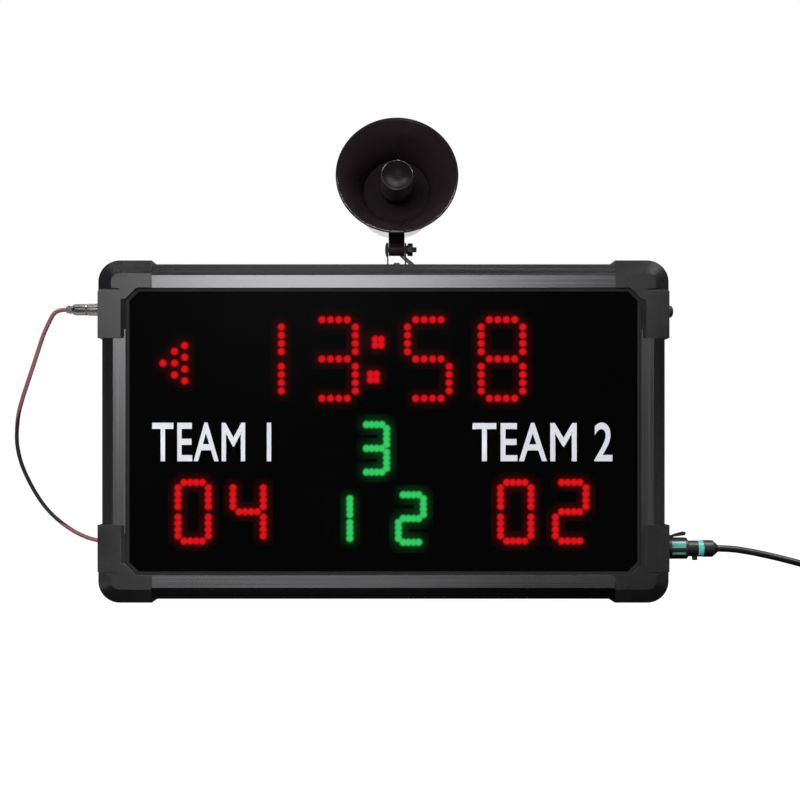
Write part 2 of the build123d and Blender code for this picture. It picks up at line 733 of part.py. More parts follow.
# Mains inlet and its plug on the right
inlet_flange = 4.0
plug_shell_radius = 12.2
shell_end = 27.4
coupling_end = 39.4
ring_band_end = 45.9
tail_end = 62.8
latch_pin = 0.9
latch_depth = 7.0
latch_length = 17.6
latch_rise = 5.2
latch_pin_across = 8.0
power_seat = seat_right(half_width, port_depth, power_port_height)
with BuildPart() as power_inlet:
    turn(power_seat, [(0, -17), (7.5, -17), (7.5, -5), (9.1, -5), (9.1, 0), (11.6, 0), (12.2, 0.6),
                      (12.2, inlet_flange), (0, inlet_flange)])
write(power_inlet, "power_inlet")
latch_height = plug_shell_radius + 1.9
with BuildPart() as power_plug_body:
    turn(power_seat, [(0, inlet_flange), (12.0, inlet_flange), (plug_shell_radius, inlet_flange + 0.4),
                      (plug_shell_radius, shell_end - 1), (11.2, shell_end), (9.3, shell_end),
                      (9.3, coupling_end), (0, coupling_end)])
    # Raised pad under the latch, with two ears that hold the latch's pin
    with Locations((half_width + inlet_flange + 12, port_depth, power_port_height + plug_shell_radius - 1)):
        Box(20, 11, 3)
    for side in (-1, 1):
        with Locations((half_width + latch_pin_across, port_depth + side * 4.4, power_port_height + latch_height - 0.6)):
            Box(4.2, 1.8, 4.2)
    with Locations(Plane(origin=(half_width + latch_pin_across, port_depth, power_port_height + latch_height),
                         z_dir=(0, 1, 0))):
        Cylinder(latch_pin + 0.1, 20, mode=Mode.SUBTRACT)
    # Small locking lug under the coupling
    with Locations((half_width + coupling_end - 3, port_depth, power_port_height - 11.0)):
        Box(5, 6, 5)
write(power_plug_body, "power_plug_body")

# Latch: a sloping thumb tab on a cross pin
latch_root = (half_width + latch_pin_across, power_port_height + latch_height)
with BuildPart() as power_plug_latch:
    with BuildSketch(Plane.XZ.offset(-port_depth)):
        with BuildLine():
            Polyline((latch_root[0] - 0.6, latch_root[1] - 0.7), (latch_root[0] + latch_length - 1, latch_root[1] + 1.6),
                     (latch_root[0] + latch_length, latch_root[1] + latch_rise),
                     (latch_root[0] + latch_length - 3, latch_root[1] + latch_rise + 0.6),
                     (latch_root[0] + 5, latch_root[1] + latch_rise / 2 + 0.6),
                     (latch_root[0] - 0.9, latch_root[1] + 0.9), close=True)
        make_face()
    extrude(amount=latch_depth / 2 - 0.3, both=True)
    with Locations(Plane(origin=(latch_root[0], port_depth, latch_root[1]), z_dir=(0, 1, 0))):
        Cylinder(latch_pin, 10.0)
write(power_plug_latch, "power_plug_latch")
with BuildPart() as power_plug_band:
    turn(power_seat, [(0, coupling_end), (9.3, coupling_end), (9.6, coupling_end + 0.5),
                      (9.6, ring_band_end - 0.5), (9.3, ring_band_end), (0, ring_band_end)])
write(power_plug_band, "power_plug_band")
with BuildPart() as power_plug_tail:
    turn(power_seat, [(0, ring_band_end), (9.9, ring_band_end), (9.9, tail_end - 6), (5.2, tail_end - 0.6),
                      (4.6, tail_end), (0, tail_end)])
write(power_plug_tail, "power_plug_tail")

# Horn, in its own frame: distances run back from the rim along the axis, and up from the axis.
tilt = radians(horn_tilt)
rearward = Vector(0, cos(tilt), -sin(tilt))
upward = Vector(0, sin(tilt), cos(tilt))
pivot = Vector(horn_centre, pivot_depth, pivot_height)
rim_centre = pivot + upward * axis_rise - rearward * rim_reach
horn_seat = Plane(origin=rim_centre, x_dir=upward, z_dir=rearward)
horn_side = Plane(origin=rim_centre, x_dir=rearward, z_dir=(1, 0, 0))
horn_axis = Axis(rim_centre, rearward)
plate_front = bell_length - 6.0
flange_front = bell_length - 4.0


def horn_point(behind, above, across=0.0):
    return rim_centre + rearward * behind + upward * above + Vector(across, 0, 0)


with BuildPart() as horn_bell:
    with BuildSketch(horn_side):
        with BuildLine():
            Polyline((flange_front, neck_radius), (flange_front, cover_radius + 1), (bell_length, cover_radius + 1),
                     (bell_length, 0), (0, 0), (0, rim_radius), (1.6, rim_radius))
            ThreePointArc((1.6, rim_radius), bell_middle, (flange_front, neck_radius))
        make_face()
    revolve(axis=horn_axis)
    # Foot that hangs between the bracket's ears
    with BuildSketch(horn_side):
        with Locations((rim_reach, -axis_rise)):
            Circle(foot_half)
        with Locations((rim_reach, -(axis_rise + neck_radius - 6) / 2)):
            Rectangle(2 * foot_half, axis_rise - neck_radius + 6)
    extrude(amount=foot_width / 2, both=True)
    with BuildSketch(horn_side):
        with BuildLine():
            Polyline((plate_front, neck_radius - horn_wall), (plate_front, 0), (-1, 0),
                     (-1, rim_radius - horn_wall * 0.6), (1.2, rim_radius - horn_wall))
            ThreePointArc((1.2, rim_radius - horn_wall), (bell_middle[0] - 0.8, bell_middle[1] - horn_wall * 0.9),
                          (plate_front, neck_radius - horn_wall))
        make_face()
    revolve(axis=horn_axis, mode=Mode.SUBTRACT)
    with Locations(Plane(origin=horn_point(bell_length, 0), x_dir=upward, z_dir=rearward)):
        Hole(throat_radius + running_gap, depth=10)
    with Locations(Plane(origin=pivot, z_dir=(1, 0, 0))):
        Cylinder(bolt_radius + hole_clearance, foot_width * 2, mode=Mode.SUBTRACT)
write(horn_bell, "horn_bell")

rib_count = 3
rib_front = 20.0
rib_back = deflector_length - 2
deflector_wall = 2.0
throat_front = 15.0
throat_flange = 3.0
with BuildPart() as horn_throat:
    turn(horn_seat, [(throat_bore, throat_front), (throat_radius, throat_front), (throat_radius, bell_length),
                     (22.0, bell_length), (22.0, bell_length + throat_flange), (throat_bore, bell_length + throat_flange)])
    with BuildSketch(Plane(origin=horn_point(rib_front, 0), x_dir=upward, z_dir=rearward)):
        with PolarLocations((throat_radius + deflector_radius) / 2 - 1, rib_count, start_angle=60):
            Rectangle(deflector_radius - throat_radius, 2.0)
        Circle(throat_radius - 1, mode=Mode.SUBTRACT)
        Circle(deflector_radius - deflector_wall, mode=Mode.INTERSECT)
    extrude(amount=rib_back - rib_front)
write(horn_throat, "horn_throat")

with BuildPart() as horn_deflector:
    with BuildSketch(horn_side):
        with BuildLine():
            Polyline((0.5, deflector_radius - 1.2), (0.5, deflector_radius), (deflector_length, deflector_radius),
                     (deflector_length, deflector_radius - deflector_wall),
                     (dish_depth + 4, deflector_radius - deflector_wall), (dish_depth + 4, 0),
                     (dish_depth + 0.5 - 0.8, 0), (dish_depth + 0.5 - 0.8, 1.3), (dish_depth + 0.45, 1.5))
            ThreePointArc((dish_depth + 0.45, 1.5), (dish_depth * 0.72 + 0.5, 9.5), (0.5, deflector_radius - 1.2))
        make_face()
    revolve(axis=horn_axis)
write(horn_deflector, "horn_deflector")

motor_radius = 32.0
motor_length = 24.0
motor_front = bell_length + throat_flange
with BuildPart() as driver_motor:
    turn(horn_seat, [(throat_bore, motor_front), (26.0, motor_front), (26.0, motor_front + 5), (motor_radius, motor_front + 5),
                     (motor_radius, motor_front + motor_length - 4), (28.0, motor_front + motor_length),
                     (0, motor_front + motor_length), (0, motor_front + 6), (throat_bore, motor_front + 6)])
write(driver_motor, "driver_motor")

horn_rear = bell_length + driver_length
gland_drop = 25.0
gland_length = 12.0
with BuildPart() as driver_cover:
    turn(horn_seat, [(cover_radius - driver_wall, bell_length), (cover_radius, bell_length),
                     (cover_radius, horn_rear - 6), (cover_radius - 2, horn_rear - 2), (cover_radius - 6, horn_rear),
                     (0, horn_rear), (0, horn_rear - driver_wall),
                     (cover_radius - 7, horn_rear - driver_wall), (cover_radius - driver_wall, horn_rear - 7)])
    with Locations(Plane(origin=horn_point(horn_rear, -gland_drop), x_dir=upward, z_dir=rearward)):
        Hole(3.6, depth=driver_wall * 2)
write(driver_cover, "driver_cover")

gland_seat = Plane(origin=horn_point(horn_rear, -gland_drop), x_dir=upward, z_dir=rearward)
with BuildPart() as driver_gland:
    turn(gland_seat, [(0, -driver_wall - 1), (3.5, -driver_wall - 1), (3.5, 0), (5.6, 0), (5.6, 2.5), (4.2, 3.5),
                      (3.0, gland_length), (0, gland_length)])
write(driver_gland, "driver_gland")

# Bracket of folded steel, pivot bolt with a domed head, and its nut
ear_inner = foot_width / 2 + 0.4
ear_outer = ear_inner + bracket_thickness
bracket_low = rail_high
with BuildPart() as horn_bracket:
    with Locations((horn_centre, pivot_depth, bracket_low + bracket_thickness / 2)):
        Box(2 * ear_outer, bracket_length, bracket_thickness)
    with BuildSketch(Plane.YZ.offset(horn_centre - ear_outer)):
        with Locations((pivot_depth, pivot_height)):
            Circle(8.0)
        with Locations((pivot_depth, (bracket_low + pivot_height) / 2)):
            Rectangle(16.0, pivot_height - bracket_low)
    extrude(amount=2 * ear_outer)
    with Locations((horn_centre, pivot_depth, bracket_low + bracket_thickness + 20)):
        Box(2 * ear_inner, bracket_length * 2, 40, mode=Mode.SUBTRACT)
    for x, y in bracket_hole_places:
        with Locations(seat_up(x, y, bracket_low + bracket_thickness)):
            Hole(bracket_screw[2] + hole_clearance, depth=bracket_thickness)
    with Locations(Plane(origin=pivot, z_dir=(1, 0, 0))):
        Cylinder(bolt_radius + hole_clearance, foot_width * 2, mode=Mode.SUBTRACT)
write(horn_bracket, "horn_bracket")
screw_group("bracket_screws", [seat_up(x, y, bracket_low + bracket_thickness) for x, y in bracket_hole_places],
            bracket_screw)

head_radius = 8.5
head_height = 2.4
bolt_seat = Plane(origin=(horn_centre - ear_outer, pivot_depth, pivot_height), x_dir=(0, 0, 1), z_dir=(1, 0, 0))
bolt_length = bolt_tail - (horn_centre - ear_outer)
with BuildPart() as pivot_bolt:
    turn(bolt_seat, [(0, -head_height), (3.5, -head_height * 0.93), (6.2, -head_height * 0.7), (head_radius, -0.6),
                     (head_radius, 0), (bolt_radius, 0), (bolt_radius, bolt_length - 0.8),
                     (bolt_radius - 0.6, bolt_length), (0, bolt_length)])
write(pivot_bolt, "pivot_bolt")
nut_start = 2 * ear_outer + 2 * running_gap
with BuildPart() as pivot_nut:
    with BuildSketch(bolt_seat.offset(nut_start)):
        Circle(nut_collar[0])
    extrude(amount=nut_collar[1])
    with BuildSketch(bolt_seat.offset(nut_start + nut_collar[1])):
        RegularPolygon(nut_flats / 2, 6, major_radius=False)
    extrude(amount=nut_thickness)
    with BuildSketch(bolt_seat.offset(nut_start)):
        Circle(bolt_radius + hole_clearance)
    extrude(amount=nut_collar[1] + nut_thickness, mode=Mode.SUBTRACT)
write(pivot_nut, "pivot_nut")


# Cord tubes: straight runs joined by arcs, each arc as large as its two runs allow.
def corner_radii(points):
    radii = []
    for one, two, three in zip(points, points[1:], points[2:]):
        before = Vector(*two) - Vector(*one)
        after = Vector(*three) - Vector(*two)
        half_turn = radians(before.get_angle(after)) / 2
        radii.append(0.45 * min(before.length, after.length) / tan(half_turn))
    return radii


def cord_tube(label, points, radius):
    radii = corner_radii(points)
    with BuildPart() as tube:
        with BuildLine() as route:
            FilletPolyline(*points, radius=radii)
        path = route.wires()[0]
        with BuildSketch(Plane(origin=path @ 0, z_dir=path % 0)):
            Circle(radius)
        sweep(path=path)
    length = path.length
    print(label, "length", round(length, 1), "least radius", round(min(radii), 1),
          "volume ratio", round(tube.part.volume / (pi * radius ** 2 * length), 4))
    write(tube, label)


# Speaker lead: out of the horn's gland, down behind the top rail, across the back cover through
# its clips, round the lower left corner and up in a free loop to its plug.
gland_exit = gland_seat.origin + rearward * gland_length
lead_level = rail_back + lead_radius + 0.3
lead_drop_points = [
    tuple(gland_exit), tuple(gland_exit + rearward * 8), (15.6, 72.6, 441.6), (16.0, 77.0, 435.0),
    (17.0, 76.4, 426.8), (19.6, 71.4, 418.6), (24.6, 62.6, 410.8), (31.2, 53.0, 404.2), (37.2, 44.8, 397.6),
    (41.9, 38.2, 390.0), (44.0, lead_level, 381.0), (44.0, lead_level, 372.0)]
lead_back_points = [(x, lead_level, z) for x, z in (
    (44.0, 372.0), (44.0, 356.0), (38.0, 335.0), (24.0, 313.0), (-6.0, 289.0), (-48.0, 264.0), (-92.0, 242.0),
    (-137.0, 217.0), (-181.0, 188.0), (-221.0, 156.0), (-254.0, 122.0), (-279.0, 96.0))]
lead_back_points += [(-301.0, 35.6, 78.0), (-318.0, 37.0, 71.6)]
lead_loop_points = [
    (-318.0, 37.0, 71.6), (-333.3, 38.26, 65.84), (-352.0, 37.6, 69.4), (-369.0, 36.4, 77.2), (-386.0, 35.0, 88.8),
    (-401.5, 33.0, 103.8), (-413.5, 30.0, 121.2), (-423.3, 27.0, 140.4), (-430.9, 23.5, 159.6), (-435.0, 20.0, 180.8),
    (-434.6, 17.0, 198.6), (-432.0, 14.0, 219.0), (-426.0, 11.0, 238.0), (-418.2, 8.0, 259.0), (-409.8, 5.0, 282.0),
    (-404.0, 3.0, 298.6), (-398.4, 1.2, 313.6), (-392.2, 0.4, 326.4),
    (wall_left - clamp_end - 15.7, port_depth + 0.1, speaker_port_height - 4.2),
    (wall_left - clamp_end - 8.0, port_depth, speaker_port_height),
    (wall_left - clamp_end, port_depth, speaker_port_height)]
cord_tube("lead_drop", lead_drop_points, lead_radius)
cord_tube("lead_back", lead_back_points, lead_radius)
cord_tube("lead_loop", lead_loop_points, lead_radius)

# Saddle clips that hold the lead on the back cover, each across the middle of a straight run
clip_width = 8.0
clip_foot = 14.0
clip_plate = 1.2
clip_runs = (1, 4, 7, 10)
with BuildPart() as lead_clips:
    for run in clip_runs:
        one = Vector(*lead_back_points[run])
        two = Vector(*lead_back_points[run + 1])
        middle = (one + two) / 2
        along = Vector(two.X - one.X, 0, two.Z - one.Z).normalized()
        saddle = Plane(origin=(middle.X, rail_back, middle.Z), x_dir=(along.Z, 0, -along.X),
                       z_dir=along)
        with BuildSketch(saddle.offset(-clip_width / 2)):
            lift = middle.Y - rail_back
            side_sign = saddle.y_dir.Y
            with Locations((0, side_sign * clip_plate / 2)):
                Rectangle(clip_foot, clip_plate)
            with Locations((0, side_sign * lift)):
                Circle(lead_radius + 1.4)
            with Locations((0, side_sign * lift / 2)):
                Rectangle(2 * (lead_radius + 1.4), lift)
            with Locations((0, side_sign * lift)):
                Circle(lead_radius + 0.25, mode=Mode.SUBTRACT)
            with Locations((0, -side_sign * clip_foot)):
                Rectangle(2 * clip_foot, 2 * clip_foot, mode=Mode.SUBTRACT)
        extrude(amount=clip_width)
write(lead_clips, "lead_clips")

# Mains lead: out of the plug's tail, down towards the table and on to its coil
coil_low = tie_thickness + mains_radius
coil_high = coil_low + coil_layer
coil_centre = Vector(coil_centre_x, coil_outer, 0)
power_cord_points = [
    (half_width + tail_end, port_depth, power_port_height), (half_width + 77.0, port_depth, power_port_height),
    (428.0, -0.4, 57.4), (456.0, -1.0, 51.6), (488.0, -1.2, 43.4), (520.0, -0.8, 34.2), (551.0, -0.2, 25.2),
    (577.0, 0.1, 18.2), (coil_centre.X - cord_straight - 18.0, 0.0, coil_high),
    (coil_centre.X - cord_straight, 0.0, coil_high)]
cord_tube("power_cord", power_cord_points, mains_radius)


# Neat coil of two layers: it spirals in on the upper layer, goes down a layer in the half turn where
# the spiral reverses, and spirals out on the lower one.
reverse_angle = 2 * pi * coil_turns_in
end_angle = reverse_angle + 2 * pi * coil_turns_out


def coil_place(angle):
    radius = coil_outer - coil_pitch * coil_turns_in + coil_pitch * abs(angle - reverse_angle) / (2 * pi)
    drop = min(max((angle - reverse_angle) / pi + 0.5, 0.0), 1.0)
    height = coil_high - coil_layer * drop * drop * (3 - 2 * drop)
    heading = angle - pi / 2
    return Vector(coil_centre.X + radius * cos(heading), coil_centre.Y + radius * sin(heading), height)


# The heading of the coil at a joint between two arcs; at its start it is square to the free lead.
def coil_heading(angle):
    if angle == 0:
        return Vector(1, 0, 0)
    step = 0.001
    return (coil_place(angle + step) - coil_place(angle - step)).normalized()


def biarc(start, start_heading, end, end_heading):
    reach = end - start
    both = start_heading + end_heading
    a = 2 * (start_heading.dot(end_heading) - 1)
    b = -2 * reach.dot(both)
    c = reach.dot(reach)
    size = c / -b if abs(a) < 1e-9 else (-b - sqrt(b * b - 4 * a * c)) / (2 * a)
    middle = (start + start_heading * size + end - end_heading * size) / 2
    TangentArc(start, middle, tangent=start_heading)
    TangentArc(middle, end, tangent=((end - end_heading * size) - (start + start_heading * size)).normalized())


coil_end = coil_place(end_angle)
mains_plug_level = 6.8
plug_entry = Vector(coil_end.X - 30, coil_end.Y, mains_plug_level)
quarter_turns = round(end_angle / (pi / 2))
with BuildPart() as power_cord_coil:
    with BuildLine() as winding:
        Line(coil_place(0) - Vector(cord_straight, 0, 0), coil_place(0))
        for quarter in range(quarter_turns):
            one_angle = quarter * pi / 2
            two_angle = one_angle + pi / 2
            biarc(coil_place(one_angle), coil_heading(one_angle), coil_place(two_angle), coil_heading(two_angle))
        biarc(coil_end, coil_heading(end_angle), plug_entry + Vector(cord_straight, 0, 0), Vector(-1, 0, 0))
        Line(plug_entry + Vector(cord_straight, 0, 0), plug_entry)
    coil_path = winding.wires()[0]
    with BuildSketch(Plane(origin=coil_path @ 0, z_dir=coil_path % 0)):
        Circle(mains_radius)
    sweep(path=coil_path)
write(power_cord_coil, "power_cord_coil")
coil_samples = [coil_place(end_angle * step / 2000) for step in range(2001)]
least_gap = min((coil_samples[i] - coil_samples[j]).length for i in range(0, 2001, 5)
                for j in range(i + 120, 2001, 3)) - 2 * mains_radius
print("coil length", round(coil_path.length, 1), "least gap to itself", round(least_gap, 2), "volume ratio",
      round(power_cord_coil.part.volume / (pi * mains_radius ** 2 * coil_path.length), 4))

# Two-pin mains plug, lying flat behind the coil with its pins towards the board
plug_boot = 14.0
plug_body_length = 34.0
plug_body_width = 34.0
plug_cheek = 12.0
pin_length = 19.0
pin_radius = 2.0
pin_spacing = 18.6
plug_x = plug_entry.X
plug_y = plug_entry.Y
with BuildPart() as mains_plug:
    with BuildSketch(Plane(origin=plug_entry, x_dir=(0, 1, 0), z_dir=(-1, 0, 0))):
        Circle(mains_radius + 1)
    with BuildSketch(Plane(origin=plug_entry - Vector(plug_boot, 0, 0), x_dir=(0, 1, 0), z_dir=(-1, 0, 0))):
        Ellipse(9.0, mains_plug_level - 0.4)
    loft()
    with BuildSketch(Plane.XY.offset(mains_plug_level)):
        with BuildLine():
            Polyline((plug_x - plug_boot, plug_y - 8), (plug_x - plug_boot, plug_y + 8),
                     (plug_x - plug_boot - plug_cheek, plug_y + plug_body_width / 2),
                     (plug_x - plug_boot - plug_body_length, plug_y + plug_body_width / 2),
                     (plug_x - plug_boot - plug_body_length, plug_y - plug_body_width / 2),
                     (plug_x - plug_boot - plug_cheek, plug_y - plug_body_width / 2), close=True)
        make_face()
    extrude(amount=mains_plug_level, both=True)
write(mains_plug, "mains_plug")
with BuildPart() as mains_plug_pins:
    plug_face = seat_left(plug_x - plug_boot - plug_body_length, plug_y, mains_plug_level)
    with Locations(plug_face):
        with GridLocations(0, pin_spacing, 1, 2):
            Cylinder(pin_radius, pin_length, align=(Align.CENTER, Align.CENTER, Align.MIN))
write(mains_plug_pins, "mains_plug_pins")

# Hook-and-loop tie round the coil, on the side away from the board and the plug
tie_angle = -0.25 * pi
coil_inner = coil_outer - coil_pitch * coil_turns_in
tie_inner = coil_inner - mains_radius - 1.2
tie_outer = coil_outer + mains_radius + 1.0
with BuildPart() as coil_tie:
    out = Vector(cos(tie_angle), sin(tie_angle), 0)
    tie_plane = Plane(origin=coil_centre, x_dir=out, z_dir=out.cross(Vector(0, 0, 1)))
    with BuildSketch(tie_plane.offset(-tie_width / 2)):
        with Locations(((tie_inner + tie_outer) / 2, (coil_high + mains_radius + 0.6 + tie_thickness) / 2)):
            Rectangle(tie_outer - tie_inner + 2 * tie_thickness, coil_high + mains_radius + 0.6 + tie_thickness)
            Rectangle(tie_outer - tie_inner, coil_high + mains_radius + 0.6 - tie_thickness, mode=Mode.SUBTRACT)
    extrude(amount=tie_width)
write(coil_tie, "coil_tie")
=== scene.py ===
import math

import bmesh
import bpy
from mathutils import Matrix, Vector


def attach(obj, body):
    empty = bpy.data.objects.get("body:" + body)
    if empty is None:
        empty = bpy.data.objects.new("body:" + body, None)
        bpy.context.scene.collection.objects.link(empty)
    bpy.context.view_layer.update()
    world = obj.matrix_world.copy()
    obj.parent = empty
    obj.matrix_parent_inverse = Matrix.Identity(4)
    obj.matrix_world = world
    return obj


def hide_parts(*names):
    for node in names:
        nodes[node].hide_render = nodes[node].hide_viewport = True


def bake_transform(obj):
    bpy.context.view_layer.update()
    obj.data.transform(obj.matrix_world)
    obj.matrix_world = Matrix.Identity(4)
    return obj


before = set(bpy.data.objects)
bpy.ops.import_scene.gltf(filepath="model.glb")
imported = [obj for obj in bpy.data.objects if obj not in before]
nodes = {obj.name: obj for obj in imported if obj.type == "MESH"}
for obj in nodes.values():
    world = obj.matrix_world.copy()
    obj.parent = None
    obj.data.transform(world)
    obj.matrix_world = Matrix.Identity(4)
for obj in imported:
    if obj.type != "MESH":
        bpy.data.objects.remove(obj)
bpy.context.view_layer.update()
scene = bpy.context.scene
scene.view_settings.view_transform = "Standard"
print("frame loaded:", len(nodes), "nodes")


# Sizes in the dictionaries below are in mm, except for those of the camera, the lamps and the floor
def metres(point):
    return tuple(value / 1000 for value in point)


def eased(value, low, high):
    share = min(max((value - low) / (high - low), 0.0), 1.0)
    return share * share * (3 - 2 * share)


# Adds a node; each input is a plain value or the socket that feeds it
def addNode(tree, kind, inputs=None, **settings):
    node = tree.nodes.new(kind)
    for name, value in settings.items():
        setattr(node, name, value)
    for label, value in (inputs or {}).items():
        if isinstance(value, bpy.types.NodeSocket):
            tree.links.new(value, node.inputs[label])
        else:
            node.inputs[label].default_value = value
    return node


def addMath(tree, operation, first, second):
    return addNode(tree, "ShaderNodeMath", {0: first, 1: second}, operation=operation).outputs[0]


def addRange(tree, value, span, toLow, toHigh, curve="LINEAR"):
    change = addNode(tree, "ShaderNodeMapRange", {
        "Value": value, "From Min": span[0], "From Max": span[1], "To Min": toLow, "To Max": toHigh,
    }, interpolation_type=curve)
    return change.outputs["Result"]


def addRamp(tree, value, span, toLow, toHigh):
    return addRange(tree, value, span, toLow, toHigh, "SMOOTHSTEP")


def addBlend(tree, share, first, second):
    return addNode(tree, "ShaderNodeMixShader", {0: share, 1: first, 2: second}).outputs[0]


# Camera, lights and floor
cameraSet = {
    "place": (-0.012, -1.633, 0.180),
    "front": -0.033,                       # the board's front, where the next two values hold
    "viewWidth": 0.920,                    # width of the picture
    "viewCentre": (0.019, 0.2337),         # what the middle of the picture shows
    "sensor": 36.0,
}
cameraX, cameraY, cameraZ = cameraSet["place"]
cameraData = bpy.data.cameras.new("boardCamera")
cameraData.sensor_width = cameraSet["sensor"]
cameraData.lens = cameraSet["sensor"] * (cameraSet["front"] - cameraY) / cameraSet["viewWidth"]
cameraData.shift_x = (cameraSet["viewCentre"][0] - cameraX) / cameraSet["viewWidth"]
cameraData.shift_y = (cameraSet["viewCentre"][1] - cameraZ) / cameraSet["viewWidth"]
camera = bpy.data.objects.new("boardCamera", cameraData)
camera.location = cameraSet["place"]
camera.rotation_euler = (math.radians(90), 0, 0)
scene.collection.objects.link(camera)
scene.camera = camera

lampSet = {
    # name: (place, aimed at, width, height, watts)
    "keyBox": ((-0.42, -1.58, 0.90), (-0.20, 0.0, 0.36), 0.95, 0.46, 34.0),
    "underBox": ((0.0, 0.18, 0.05), (0.005, 0.10, 0.44), 0.50, 0.10, 2.3),
    "topBox": ((-0.10, 0.55, 1.70), (0.0, 0.0, 0.40), 1.20, 0.60, 14.0),
    "rightBox": ((1.50, -0.70, 0.60), (0.25, 0.0, 0.20), 0.40, 0.90, 5.0),
    "rearBox": ((0.4, 1.9, 1.1), (0.0, 0.0, 0.25), 1.20, 0.80, 14.0),
}
for name, (place, target, width, height, watts) in lampSet.items():
    lamp = bpy.data.lights.new(name, "AREA")
    lamp.shape = "RECTANGLE"
    lamp.size = width
    lamp.size_y = height
    lamp.energy = watts
    lampObject = bpy.data.objects.new(name, lamp)
    lampObject.location = place
    lampObject.rotation_euler = (Vector(target) - Vector(place)).to_track_quat("-Z", "Y").to_euler()
    lampObject.visible_glossy = False
    lampObject.visible_camera = False
    scene.collection.objects.link(lampObject)

# Diffuse light is soft and even, mirrored surroundings are a dim room, and the camera sees white
worldSet = {
    "ambient": 0.30,
    "shown": 1.0,
    # what shiny faces see ahead of the board, at its sides and overhead, and where one passes into the next
    "mirrorFront": 0.05,
    "mirrorRound": 0.28,
    "mirrorTop": 0.45,
    "roundSpan": (-0.55, 0.00),
    "topSpan": (0.50, 0.95),
    # soft boxes ahead that shiny faces see: where each starts and ends across and upward, and strength
    "aheadSpan": (-0.30, -0.10),
    "boxes": {
        "aheadBox": ((-0.20, -0.10), (-0.04, 0.15), (0.02, 0.10), (0.36, 0.48), 4.7),
        "lowGlow": ((-0.22, -0.18), (-0.02, 0.09), (-0.10, 0.10), (0.20, 0.30), 0.60),
    },
    # round lamps overhead that shiny faces see: direction, degrees to the start and end of the edge, strength
    "spots": {
        "leftSpot": ((-0.47, -0.36, 0.80), 6.0, 13.0, 11.0),
        "middleSpot": ((0.12, -0.28, 0.95), 9.0, 16.0, 10.0),
        "rightSpot": ((0.52, -0.42, 0.74), 6.0, 13.0, 12.0),
    },
}


def addBackground(tree, strength):
    return addNode(tree, "ShaderNodeBackground", {"Color": (1, 1, 1, 1), "Strength": strength}).outputs[0]


def fillWorld(tree):
    tree.nodes.clear()
    rays = tree.nodes.new("ShaderNodeLightPath").outputs
    direction = tree.nodes.new("ShaderNodeTexCoord").outputs["Generated"]
    parts = addNode(tree, "ShaderNodeSeparateXYZ", {0: direction}).outputs
    front, around, top = worldSet["mirrorFront"], worldSet["mirrorRound"], worldSet["mirrorTop"]
    total = addMath(tree, "ADD", addRamp(tree, parts["Y"], worldSet["roundSpan"], front, around),
                    addRamp(tree, parts["Z"], worldSet["topSpan"], 0.0, top))
    ahead = addRamp(tree, parts["Y"], worldSet["aheadSpan"], 1.0, 0.0)
    for left, right, low, high, strength in worldSet["boxes"].values():
        box = ahead
        for axis, span, start, end in (("X", left, 0.0, strength), ("X", right, 1.0, 0.0),
                                       ("Z", low, 0.0, 1.0), ("Z", high, 1.0, 0.0)):
            box = addMath(tree, "MULTIPLY", box, addRamp(tree, parts[axis], span, start, end))
        total = addMath(tree, "ADD", total, box)
    for aim, full, edge, strength in worldSet["spots"].values():
        nearness = addNode(tree, "ShaderNodeVectorMath", {0: direction, 1: Vector(aim).normalized()},
                           operation="DOT_PRODUCT").outputs["Value"]
        span = [math.cos(math.radians(angle)) for angle in (edge, full)]
        total = addMath(tree, "ADD", total, addRamp(tree, nearness, span, 0.0, strength))
    shown = addBackground(tree, worldSet["shown"])
    unseen = addBlend(tree, rays["Is Glossy Ray"], addBackground(tree, worldSet["ambient"]),
                      addBackground(tree, total))
    unseen = addBlend(tree, rays["Is Transmission Ray"], unseen, shown)
    addNode(tree, "ShaderNodeOutputWorld", {"Surface": addBlend(tree, rays["Is Camera Ray"], unseen, shown)})


world = bpy.data.worlds.new("studio")
scene.world = world
world.use_nodes = True
fillWorld(world.node_tree)

# The camera sees a pale floor with a faint shadow; the board is lit by little light from below
floorSet = {
    "across": (-12, 12),
    "deep": (-8, 30),
    "matt": 0.90,
    "bounce": 0.10,
    "whiteShare": 0.90,
    "white": 1.10,
    # what shiny faces see of it, a painted reflection: dark close to the board as a painted shadow of the
    # board, then paler, less so to both sides
    "mirrorNear": 0.02,
    "mirrorFar": 0.45,
    "farFrom": (-0.07, -0.13),
    "fadeRight": (-0.05, 0.26),
    "rightShare": 0.34,
    "fadeLeft": (-0.36, -0.44),
    "leftShare": 0.30,
    "mirrorBeside": 0.55,
    "besideFrom": (-0.345, -0.375),
    "besideUntil": (-0.30, -0.16),
}


